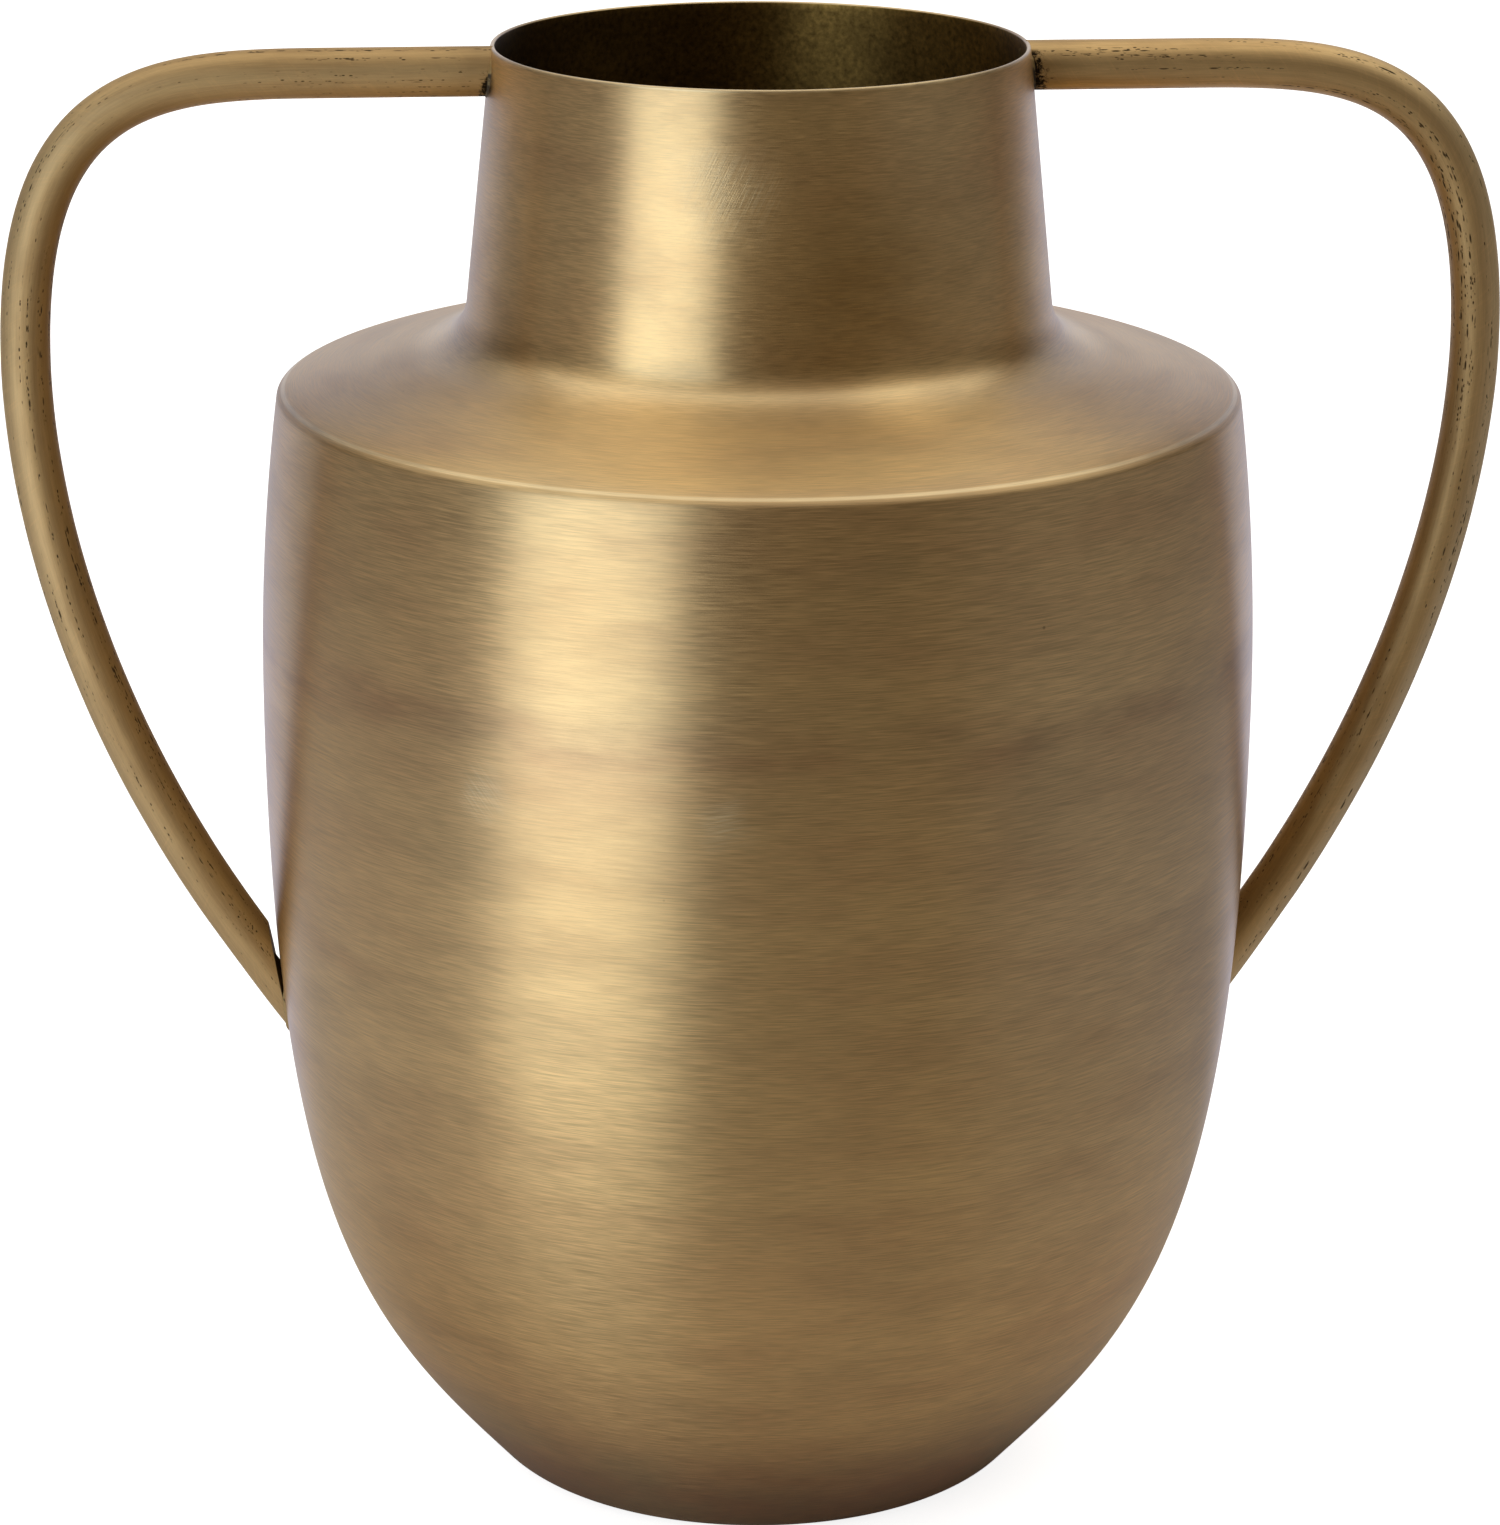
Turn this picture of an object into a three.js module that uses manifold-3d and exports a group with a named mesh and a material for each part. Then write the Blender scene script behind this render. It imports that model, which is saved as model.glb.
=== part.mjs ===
// A spun brass vase with two bent tube handles, in millimetres, +Z up.
// The origin is the middle of the foot, on the surface that the vase stands on. The handles lie along X.
import * as THREE from "three";
import { mergeVertices } from "three/addons/utils/BufferGeometryUtils.js";
import Module from "manifold-3d";

const wasm = await Module();
wasm.setup();

// Heights of the vessel's outside, stacked from the foot to the rim
const bellyHeight = 168.8;
const shoulderRise = 62;
const shoulderFall = 10.4;
const neckHeight = 58.8;

// Radii of the vessel's outside, each step measured outwards from the one before
const rimRadius = 54;
const neckFlare = 6;
const shoulderWidth = 37.8;
const bellySwell = 4.2;
const footRadius = 54.2;

// Rounds of the outside, and the pull of the side's curve at the belly and at the foot
const neckFillet = 9;
const shoulderRound = 5;
const footRound = 10.5;
const footSlope = THREE.MathUtils.degToRad(48.3);
const bellyPull = 117.5;
const footPull = 40;

// Sheet that both shells are spun from, and the base pressed up inside its standing ring
const sheet = 0.9;
const standingRing = 12;
const baseStep = 5;
const baseRise = 2;

// Lapped seam under the shoulder: the bowl's edge is set inwards and runs up inside the upper shell's skirt
const skirtLength = 8;
const lapLength = 6;
const setInHeight = 4;

// Handle tube, its straight bar level with the rim, its bend and its sweep down to the side
const tubeDiameter = 10;
const tubeWall = 1;
const barLength = 33.3;
const bendDepth = 57.8;
const bendPullOut = 31.8;
const bendPullDown = 57.4;
const standOut = 46;
const sweepPull = 22.8;
const landingPull = 58.5;
const landingHeight = 103.2;
const landingSlope = THREE.MathUtils.degToRad(57.8);
const landingStraight = 21;

// Brazing: the room left for filler, and the fillets round the ends of the tubes
const brazeGap = 0.3;
const filletLeg = 1.8;
const filletWaist = 0.5;

// Fineness of the faceted surfaces
const turnSegments = 48;
const tubeSegments = 16;
const pathSteps = 36;
const filletSteps = 24;
const sideSteps = 9;
const crownSteps = 3;
const roundSteps = 4;
const lapSteps = 2;
const mergeTolerance = 1e-4;

// Sizes that follow from the ones above
const shoulderHeight = bellyHeight + shoulderRise;
const neckFootHeight = shoulderHeight + shoulderFall;
const height = neckFootHeight + neckHeight;
const neckFootRadius = rimRadius + neckFlare;
const shoulderRadius = neckFootRadius + shoulderWidth;
const bellyRadius = shoulderRadius + bellySwell;
const tubeRadius = tubeDiameter / 2;
const boreRadius = tubeRadius - tubeWall;
const barHeight = height - tubeRadius;

const finishes = {
  spunBrass: { color: 0xa98a58, roughness: 0.36, metalness: 1 },
  tubeBrass: { color: 0xb5944f, roughness: 0.42, metalness: 1 },
  filler: { color: 0x8a6c3c, roughness: 0.55, metalness: 1 },
};

// Points on an arc of a circle, counted from one angle to another.
function arc(centre, radius, from, to, steps) {
  return new THREE.EllipseCurve(centre.x, centre.y, radius, radius, from, to, to < from).getPoints(steps);
}

// A chain of points moved to its left by a distance, keeping its runs parallel.
function shifted(points, distance) {
  const leftOf = (a, b) => new THREE.Vector2(a.y - b.y, b.x - a.x).normalize();
  return points.map((point, i) => {
    const ahead = i < points.length - 1 ? leftOf(point, points[i + 1]) : leftOf(points[i - 1], point);
    const behind = i > 0 ? leftOf(points[i - 1], point) : ahead;
    const mitre = behind.clone().add(ahead).divideScalar(1 + behind.dot(ahead));
    return point.clone().addScaledVector(mitre, distance);
  });
}

// The chain's radius at a height, carried on straight past its upper end.
function radiusAt(points, z) {
  const above = points.findIndex((point, i) => i > 0 && point.y >= z && points[i - 1].y < z);
  const last = above > 0 ? above : points.length - 1;
  const [low, high] = [points[last - 1], points[last]];
  return low.x + ((high.x - low.x) * (z - low.y)) / (high.y - low.y);
}

// Crown of the belly: one large arc, upright at the belly, that passes through the shoulder's edge.
const crownRadius = (shoulderRise ** 2 + bellySwell ** 2) / (2 * bellySwell);
const crownCentre = new THREE.Vector2(bellyRadius - crownRadius, bellyHeight);
const crownAngle = (z) => Math.asin((z - bellyHeight) / crownRadius);
const onCrown = (z, depth) =>
  new THREE.Vector2(Math.cos(crownAngle(z)), Math.sin(crownAngle(z)))
    .multiplyScalar(crownRadius - depth)
    .add(crownCentre);

// Shoulder: a straight slope out of the neck, rounded into the crown.
const neckFoot = new THREE.Vector2(neckFootRadius, neckFootHeight);
const shoulderEdge = new THREE.Vector2(shoulderRadius, shoulderHeight);
const slope = shoulderEdge.clone().sub(neckFoot).normalize();
const intoSlope = new THREE.Vector2(slope.y, -slope.x);
const roundStart = neckFoot.clone().addScaledVector(intoSlope, shoulderRound).sub(crownCentre);
const alongSlope = roundStart.dot(slope);
const reach = Math.sqrt(alongSlope ** 2 - roundStart.lengthSq() + (crownRadius - shoulderRound) ** 2);
const roundCentre = roundStart.clone().addScaledVector(slope, reach - alongSlope).add(crownCentre);
const roundLowAngle = roundCentre.clone().sub(crownCentre).angle();
const roundHighAngle = intoSlope.clone().negate().angle();
const roundEndHeight = crownCentre.y + crownRadius * Math.sin(roundLowAngle);

// Neck: a slightly tapered cone, filleted into the shoulder.
const rim = new THREE.Vector2(rimRadius, height);
const upNeck = rim.clone().sub(neckFoot).normalize();
const neckHalfAngle = Math.acos(upNeck.dot(slope)) / 2;
const filletCentre = upNeck
  .clone()
  .add(slope)
  .normalize()
  .multiplyScalar(neckFillet / Math.sin(neckHalfAngle))
  .add(neckFoot);
const filletLowAngle = intoSlope.angle();
const filletHighAngle = new THREE.Vector2(-upNeck.y, upNeck.x).angle();

// Seam: heights of the skirt's lower edge and of the set-in below it.
const skirtEdge = roundEndHeight - skirtLength;
const setInStart = skirtEdge - setInHeight;
const setInDepth = sheet + brazeGap;

// Base and side, from the middle of the base up to the belly.
function lowerOutline() {
  const footTangent = footRound * Math.tan(footSlope / 2);
  const ringOuter = footRadius - footTangent;
  const ringInner = ringOuter - standingRing;
  const upSide = new THREE.Vector2(Math.cos(footSlope), Math.sin(footSlope));
  const footTop = new THREE.Vector2(footRadius, 0).addScaledVector(upSide, footTangent);
  const footCentre = new THREE.Vector2(ringOuter, footRound);
  const belly = new THREE.Vector2(bellyRadius, bellyHeight);
  const side = new THREE.CubicBezierCurve(
    footTop,
    footTop.clone().addScaledVector(upSide, footPull),
    new THREE.Vector2(bellyRadius, bellyHeight - bellyPull),
    belly,
  );
  return [
    new THREE.Vector2(0, baseRise),
    new THREE.Vector2(ringInner - baseStep, baseRise),
    new THREE.Vector2(ringInner, 0),
    ...arc(footCentre, footRound, -Math.PI / 2, footSlope - Math.PI / 2, roundSteps),
    ...side.getPoints(sideSteps).slice(1),
  ];
}

// Shoulder, fillet, neck and rim, from the top of the crown up.
function upperOutline() {
  return [
    ...arc(roundCentre, shoulderRound, roundLowAngle, roundHighAngle, roundSteps),
    ...arc(filletCentre, neckFillet, filletLowAngle, filletHighAngle, roundSteps),
    rim,
  ];
}

// A piece of the crown between two heights, at a depth under the outside.
function crown(from, to, depth, steps) {
  return arc(crownCentre, crownRadius - depth, crownAngle(from), crownAngle(to), steps);
}

const bowlOutline = [
  ...lowerOutline(),
  ...crown(bellyHeight, setInStart, 0, crownSteps).slice(1),
  ...crown(skirtEdge, skirtEdge + lapLength, setInDepth, lapSteps),
];
const neckOutline = [...crown(skirtEdge, roundEndHeight, 0, lapSteps), ...upperOutline().slice(1)];
const vesselOutline = [
  ...lowerOutline(),
  ...crown(bellyHeight, roundEndHeight, 0, crownSteps).slice(1),
  ...upperOutline().slice(1),
];

function revolved(points) {
  return new THREE.LatheGeometry(points, turnSegments).rotateX(Math.PI / 2);
}

function solidOf(geometry) {
  geometry.deleteAttribute("normal");
  geometry.deleteAttribute("uv");
  const merged = mergeVertices(geometry, mergeTolerance);
  const vertProperties = merged.getAttribute("position").array;
  const triVerts = new Uint32Array(merged.getIndex().array);
  return new wasm.Manifold(new wasm.Mesh({ numProp: 3, vertProperties, triVerts }));
}

function geometryOf(solid) {
  const { vertProperties, triVerts } = solid.getMesh();
  const geometry = new THREE.BufferGeometry();
  geometry.setAttribute("position", new THREE.BufferAttribute(vertProperties, 3));
  geometry.setIndex(new THREE.BufferAttribute(triVerts, 1));
  geometry.computeVertexNormals();
  return geometry;
}

function mesh(name, geometry, finish) {
  const piece = new THREE.Mesh(geometry, new THREE.MeshStandardMaterial(finish));
  piece.name = name;
  return piece;
}

// Spun bowl: base, side, belly and the set-in edge, one sheet thick.
function bodyShell() {
  const inside = shifted(bowlOutline, sheet).reverse();
  return revolved([...bowlOutline, ...inside]);
}

// Spun upper shell: skirt, shoulder, neck and the raw rim, one sheet thick.
function neckShell() {
  const inside = shifted(neckOutline, sheet).reverse();
  return revolved([...neckOutline, ...inside, neckOutline[0]]);
}

// Filler in the groove between the skirt's edge and the set-in, dressed flush with the outside.
function seamRing() {
  const setInLength = Math.hypot(setInDepth, setInHeight);
  const top = skirtEdge - brazeGap;
  const bottom = setInStart + (brazeGap * setInLength) / setInDepth;
  const depth = (setInDepth * (top - setInStart)) / setInHeight - (brazeGap * setInLength) / setInHeight;
  const corners = [onCrown(bottom, 0), onCrown(top, 0), onCrown(top, depth)];
  return revolved([...corners, corners[0]]);
}

// Ends of the handle in its own plane: out along +X from the vessel, up along +Z.
const neckRadius = radiusAt(vesselOutline, barHeight);
const upperEnd = new THREE.Vector3(neckRadius, 0, barHeight);
const upperOut = new THREE.Vector3(1, 0, 0);
const lowerEnd = new THREE.Vector3(radiusAt(vesselOutline, landingHeight), 0, landingHeight);
const lowerOut = new THREE.Vector3(Math.cos(landingSlope), 0, Math.sin(landingSlope));

// Centre line of the handle, with both ends carried on into the vessel so that they can be cut to it.
function handlePath() {
  const inward = 2 * tubeDiameter;
  const along = (point, direction, distance) => point.clone().addScaledVector(direction, distance);
  const barEnd = along(upperEnd, upperOut, barLength);
  const widest = new THREE.Vector3(bellyRadius + standOut, 0, barHeight - bendDepth);
  const landing = along(lowerEnd, lowerOut, landingStraight);
  const up = new THREE.Vector3(0, 0, 1);
  const path = new THREE.CurvePath();
  path.add(new THREE.LineCurve3(along(upperEnd, upperOut, -inward), barEnd));
  path.add(
    new THREE.CubicBezierCurve3(
      barEnd,
      along(barEnd, upperOut, bendPullOut),
      along(widest, up, bendPullDown),
      widest,
    ),
  );
  path.add(
    new THREE.CubicBezierCurve3(
      widest,
      along(widest, up, -sweepPull),
      along(landing, lowerOut, landingPull),
      landing,
    ),
  );
  path.add(new THREE.LineCurve3(landing, along(lowerEnd, lowerOut, -inward)));
  return path;
}

// Bent tube, both ends cut to the vessel's outside with room for filler.
function handleTube() {
  const section = new THREE.Shape().absarc(0, 0, tubeRadius, 0, 2 * Math.PI);
  section.holes.push(new THREE.Path().absarc(0, 0, boreRadius, 0, 2 * Math.PI));
  const tube = new THREE.ExtrudeGeometry(section, {
    steps: pathSteps,
    curveSegments: tubeSegments / 2,
    extrudePath: handlePath(),
  });
  const outside = shifted(vesselOutline, -brazeGap);
  const top = height + brazeGap;
  outside[0].x = 0;
  const cutter = revolved([...outside, new THREE.Vector2(outside.at(-1).x, top), new THREE.Vector2(0, top)]);
  return geometryOf(solidOf(tube).subtract(solidOf(cutter)));
}

// Place where a line beside the tube's axis meets the vessel's wall.
// The line lies tubeGap outside the tube at the given angle round it, and the wall is moved out by wallGap.
function meetWall(end, out, angle, tubeGap, wallGap) {
  const wall = shifted(vesselOutline, -wallGap);
  const across = new THREE.Vector3(0, 1, 0);
  const upright = out.clone().cross(across);
  const start = end
    .clone()
    .addScaledVector(upright, (tubeRadius + tubeGap) * Math.cos(angle))
    .addScaledVector(across, (tubeRadius + tubeGap) * Math.sin(angle));
  const outsideAt = (t) => {
    const point = start.clone().addScaledVector(out, t);
    return Math.hypot(point.x, point.y) > radiusAt(wall, point.z);
  };
  const halvings = 40;
  let inner = -4 * tubeDiameter;
  let outer = 4 * tubeDiameter;
  for (let i = 0; i < halvings; i += 1) {
    const middle = (inner + outer) / 2;
    if (outsideAt(middle)) {
      outer = middle;
    } else {
      inner = middle;
    }
  }
  return start.addScaledVector(out, outer);
}

// Brazed fillet round a tube's end, hollow-faced, between two angles counted from the top of the tube.
function brazedFillet(end, out, from, to) {
  const toe = brazeGap + filletLeg;
  const waist = brazeGap + filletWaist;
  const section = [
    [brazeGap, brazeGap],
    [toe, brazeGap],
    [waist, waist],
    [brazeGap, toe],
  ];
  const sides = section.length;
  const closed = to - from >= 2 * Math.PI;
  const rings = closed ? filletSteps : filletSteps + 1;
  const points = [];
  for (let ring = 0; ring < rings; ring += 1) {
    const angle = from + ((to - from) * ring) / filletSteps;
    points.push(...section.map(([tubeGap, wallGap]) => meetWall(end, out, angle, tubeGap, wallGap)));
  }
  const index = [];
  for (let ring = 0; ring < filletSteps; ring += 1) {
    const next = (ring + 1) % rings;
    for (let side = 0; side < sides; side += 1) {
      const [a, b] = [ring * sides + side, ring * sides + ((side + 1) % sides)];
      const [c, d] = [next * sides + side, next * sides + ((side + 1) % sides)];
      index.push(a, b, c, b, d, c);
    }
  }
  if (!closed) {
    const last = filletSteps * sides;
    index.push(0, 2, 1, 0, 3, 2);
    index.push(last, last + 1, last + 2, last, last + 2, last + 3);
  }
  const geometry = new THREE.BufferGeometry().setFromPoints(points);
  geometry.setIndex(index);
  geometry.computeVertexNormals();
  return geometry;
}

// One handle with its two fillets. The upper one stops short of the top, which lies level with the rim.
function handle(side, turn) {
  const rimAngle = Math.acos(tubeRadius / (tubeRadius + brazeGap + filletLeg));
  const fullTurn = 2 * Math.PI;
  const upper = brazedFillet(upperEnd, upperOut, rimAngle, fullTurn - rimAngle);
  const lower = brazedFillet(lowerEnd, lowerOut, 0, fullTurn);
  const group = new THREE.Group();
  group.add(mesh(`handle_${side}`, handleTube(), finishes.tubeBrass));
  group.add(mesh(`braze_upper_${side}`, upper, finishes.filler));
  group.add(mesh(`braze_lower_${side}`, lower, finishes.filler));
  group.rotation.z = turn;
  return group;
}

const vase = new THREE.Group();
vase.add(mesh("body_shell", bodyShell(), finishes.spunBrass));
vase.add(mesh("neck_shell", neckShell(), finishes.spunBrass));
vase.add(mesh("shoulder_seam_braze", seamRing(), finishes.filler));
vase.add(handle("right", 0));
vase.add(handle("left", Math.PI));

export default vase;
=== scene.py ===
"""Brushed antique-brass vase with two bent tube handles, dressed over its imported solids.

Everything is in metres in the part's own frame: +Z runs up the vessel's axis from the middle of its
foot, and the handles stand along X. Each spun shell, tube and brazed fillet is a skin that one
Geometry Nodes tree lofts through rings, and each replaces the solid of the same name.
"""
import logging
import math
from collections.abc import Mapping, Sequence
from dataclasses import dataclass
from enum import Enum
from typing import Any

import bpy
import numpy as np
from mathutils import Matrix, Vector


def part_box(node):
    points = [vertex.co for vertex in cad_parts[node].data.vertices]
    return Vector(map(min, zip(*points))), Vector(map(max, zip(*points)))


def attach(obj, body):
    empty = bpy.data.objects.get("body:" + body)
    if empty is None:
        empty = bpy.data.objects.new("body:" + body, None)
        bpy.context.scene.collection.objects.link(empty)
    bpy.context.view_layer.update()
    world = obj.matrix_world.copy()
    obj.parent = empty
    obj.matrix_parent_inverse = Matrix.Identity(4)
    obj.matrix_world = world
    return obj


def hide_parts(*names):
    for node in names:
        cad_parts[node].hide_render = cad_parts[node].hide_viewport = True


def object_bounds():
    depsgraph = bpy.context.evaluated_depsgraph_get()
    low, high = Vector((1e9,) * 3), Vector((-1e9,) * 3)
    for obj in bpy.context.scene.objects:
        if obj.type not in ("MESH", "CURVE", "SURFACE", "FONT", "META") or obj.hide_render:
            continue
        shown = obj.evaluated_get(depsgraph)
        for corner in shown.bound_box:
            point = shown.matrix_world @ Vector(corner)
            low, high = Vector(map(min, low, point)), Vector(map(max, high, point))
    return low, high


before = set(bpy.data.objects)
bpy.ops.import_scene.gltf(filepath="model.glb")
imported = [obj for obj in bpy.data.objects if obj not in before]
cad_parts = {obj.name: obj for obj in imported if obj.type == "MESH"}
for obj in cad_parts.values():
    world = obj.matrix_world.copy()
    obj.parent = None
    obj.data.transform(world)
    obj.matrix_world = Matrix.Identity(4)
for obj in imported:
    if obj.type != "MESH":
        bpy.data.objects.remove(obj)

LOG = logging.getLogger("vase")
CAD_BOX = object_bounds()
MM = 0.001
BODY = "root"
SURFACE_MAP = "Surface"
SAME_POINT = 0.001
Colour = tuple[float, float, float]
Place = tuple[float, float, float]
Points = np.ndarray


class Slot(Enum):
    """Three material slot names, which the script does not use."""

    SPUN = "spun_brass"
    HANDLE = "handle_brass"
    BRAZE = "braze"


class Side(Enum):
    """The side of the vessel that a handle stands on, as the sign of X."""

    LEFT = -1
    RIGHT = 1


class TubeEnd(Enum):
    """An end of a handle's tube, as its row on the tube's middle line."""

    UPPER = 0
    LOWER = -1


class Signal:
    """One output socket, on which Python's operators add Math nodes."""

    def __init__(self, graph: "Graph", socket: bpy.types.NodeSocket) -> None:
        """Keeps the socket and the graph that it belongs to."""
        self.graph = graph
        self.socket = socket

    def __add__(self, other: "Signal | float") -> "Signal":
        """Adds a value."""
        return self.graph.maths("ADD", self, other)

    __radd__ = __add__

    def __sub__(self, other: "Signal | float") -> "Signal":
        """Takes a value away."""
        return self.graph.maths("SUBTRACT", self, other)

    def __rsub__(self, other: "Signal | float") -> "Signal":
        """Takes this signal away from a value."""
        return self.graph.maths("SUBTRACT", other, self)

    def __mul__(self, other: "Signal | float") -> "Signal":
        """Multiplies by a value."""
        return self.graph.maths("MULTIPLY", self, other)

    __rmul__ = __mul__

    def __gt__(self, other: "Signal | float") -> "Signal":
        """Gives 1 where the signal is above a value."""
        return self.graph.maths("GREATER_THAN", self, other)

    def ramp(self, low: float, high: float) -> "Signal":
        """Rises smoothly from 0 to 1.

        Args:
            low: the value where it leaves 0, which may be the larger of the two.
            high: the value where it reaches 1.

        Returns:
            A signal from 0 to 1.
        """
        if low > high:
            return 1 - self.ramp(high, low)
        inputs = {"Value": self, "From Min": low, "From Max": high}
        return self.graph.out("ShaderNodeMapRange", {"interpolation_type": "SMOOTHSTEP"}, inputs)


class Graph:
    """The node tree of a material, the world or a Geometry Nodes group."""

    def __init__(self, tree: bpy.types.NodeTree) -> None:
        """Keeps the tree that nodes are added to."""
        self.tree = tree

    @classmethod
    def fresh(cls, owner: bpy.types.Material | bpy.types.World) -> "Graph":
        """Starts the empty tree of a material or the world.

        Args:
            owner: the material or the world.

        Returns:
            The graph.
        """
        owner.use_nodes = True
        owner.node_tree.nodes.clear()
        return cls(owner.node_tree)

    def node(
        self,
        kind: str,
        settings: Mapping[str, Any] | None = None,
        inputs: Mapping[str | int, Any] | None = None,
    ) -> bpy.types.Node:
        """Adds one node.

        Args:
            kind: Blender's name for the node's type.
            settings: properties, which are set before the sockets.
            inputs: values, signals or sockets, by the socket's name or number.

        Returns:
            The new node.
        """
        made = self.tree.nodes.new(kind)
        for name, value in (settings or {}).items():
            setattr(made, name, value)
        for key, value in (inputs or {}).items():
            source = value.socket if isinstance(value, Signal) else value
            if isinstance(source, bpy.types.NodeSocket):
                self.tree.links.new(source, made.inputs[key])
            else:
                made.inputs[key].default_value = source
        return made

    def out(
        self,
        kind: str,
        settings: Mapping[str, Any] | None = None,
        inputs: Mapping[str | int, Any] | None = None,
        output: str | int = 0,
    ) -> Signal:
        """Adds one node and gives one of its outputs.

        Args:
            kind: Blender's name for the node's type.
            settings: properties, which are set before the sockets.
            inputs: values, signals or sockets, by the socket's name or number.
            output: the name or number of the output.

        Returns:
            The output as a signal.
        """
        return Signal(self, self.node(kind, settings, inputs).outputs[output])

    def maths(self, operation: str, first: Signal | float, second: Signal | float = 0.0) -> Signal:
        """Gives a Math node's value."""
        return self.out("ShaderNodeMath", {"operation": operation}, {0: first, 1: second})

    def vector(self, x: Signal | float, y: Signal | float, z: Signal | float) -> Signal:
        """Joins three values to a vector."""
        return self.out("ShaderNodeCombineXYZ", None, {0: x, 1: y, 2: z})

    def vector_maths(self, operation: str, first: Any, second: Any = None, scale: Any = None) -> Signal:
        """Gives a Vector Math node's vector.

        Args:
            operation: the node's operation.
            first: the first vector.
            second: the second vector, where the operation has one.
            scale: the number that SCALE multiplies by.

        Returns:
            The vector as a signal.
        """
        given = {0: first, 1: second, 3: scale}
        inputs = {key: value for key, value in given.items() if value is not None}
        return self.out("ShaderNodeVectorMath", {"operation": operation}, inputs)

    def parts(self, vector: Signal) -> tuple[Signal, Signal, Signal]:
        """Splits a vector into three values."""
        made = self.node("ShaderNodeSeparateXYZ", None, {0: vector})
        return tuple(Signal(self, socket) for socket in made.outputs)

    def noise(self, vector: Signal, detail: float = 2.0, roughness: float = 0.5, seed: float = 0.0) -> Signal:
        """Gives smooth noise of unit cells.

        Args:
            vector: the place in the noise, where one unit is one cell.
            detail: the number of finer layers.
            roughness: the strength of the finer layers.
            seed: picks the noise.

        Returns:
            A signal from 0 to 1.
        """
        inputs = {"Vector": vector, "W": seed, "Scale": 1.0, "Detail": detail, "Roughness": roughness}
        return self.out("ShaderNodeTexNoise", {"noise_dimensions": "4D"}, inputs)

    def mix(self, share: Signal | float, first: Signal | Colour, second: Signal | Colour) -> Signal:
        """Mixes two colours.

        Args:
            share: the share of the second colour.
            first: the colour at share 0.
            second: the colour at share 1.

        Returns:
            The colour as a signal.
        """
        colours = [value if isinstance(value, Signal) else (*value, 1.0) for value in (first, second)]
        inputs = {0: share, 6: colours[0], 7: colours[1]}
        return self.out("ShaderNodeMix", {"data_type": "RGBA"}, inputs, 2)

    def tinted(self, colour: Signal, strength: Signal) -> Signal:
        """Multiplies a colour by a value."""
        return self.vector_maths("SCALE", colour, scale=strength)

    def dot(self, first: Signal, second: Vector) -> Signal:
        """Gives the dot product of two vectors."""
        return self.out("ShaderNodeVectorMath", {"operation": "DOT_PRODUCT"}, {0: first, 1: second}, "Value")

    def distance(self, first: Signal, second: Place) -> Signal:
        """Gives the distance between two places."""
        return self.out("ShaderNodeVectorMath", {"operation": "DISTANCE"}, {0: first, 1: second}, "Value")

    def bump(self, height: Signal, depth: float) -> Signal:
        """Turns a height signal into a normal, where 1 stands for a depth in metres."""
        return self.out("ShaderNodeBump", None, {"Distance": depth, "Height": height})

    def shade(self, inputs: Mapping[str, Any]) -> None:
        """Adds a material's shader, fed by values and signals, and its output."""
        shader = self.node("ShaderNodeBsdfPrincipled", None, inputs)
        self.node("ShaderNodeOutputMaterial", None, {"Surface": shader.outputs[0]})


@dataclass(frozen=True)
class SurfaceMap:
    """Where a point is on a piece: its place in space and on the piece's own map."""

    graph: Graph
    place: Signal
    height: Signal
    turn: Signal
    along: Signal

    @classmethod
    def on(cls, graph: Graph) -> "SurfaceMap":
        """Reads the Object coordinates and the piece's map.

        Args:
            graph: the material's graph.

        Returns:
            The place, its height, the share of a turn and the length along the outline or the tube.
        """
        place = graph.out("ShaderNodeTexCoord", output="Object")
        flat = graph.out("ShaderNodeUVMap", {"uv_map": SURFACE_MAP})
        turn, along, _ = graph.parts(flat)
        return cls(graph, place, graph.parts(place)[2], turn, along)

    def distance(self, place: Place) -> Signal:
        """Gives the distance from a place."""
        return self.graph.distance(self.place, place)

    def ringed(self, around: float, lengthwise: float) -> Signal:
        """Gives a place in a pattern that closes on itself round the piece.

        Args:
            around: the cells in one radian of the turn.
            lengthwise: the cells in one metre of length.

        Returns:
            The vector for noise or specks.
        """
        angle = self.turn * math.tau
        x = self.graph.maths("COSINE", angle) * around
        y = self.graph.maths("SINE", angle) * around
        return self.graph.vector(x, y, self.along * lengthwise)

    def spread(self, cells: float) -> Signal:
        """Gives a place in a pattern of so many cells in a metre of space."""
        return self.graph.vector_maths("SCALE", self.place, scale=cells)

    def slanted(self, radius: float, angle: float, across: float, lengthwise: float) -> Signal:
        """Gives a place in a pattern of slanting lines on a turned surface.

        Args:
            radius: the surface's radius, which makes the turn a length.
            angle: the slant of the lines from the horizontal.
            across: the cells in a metre across the lines.
            lengthwise: the cells in a metre along the lines.

        Returns:
            The vector for noise.
        """
        flat = self.turn * (math.tau * radius)
        run = flat * math.cos(angle) + self.along * math.sin(angle)
        rise = self.along * math.cos(angle) - flat * math.sin(angle)
        return self.graph.vector(run * lengthwise, rise * across, 0.0)


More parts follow.
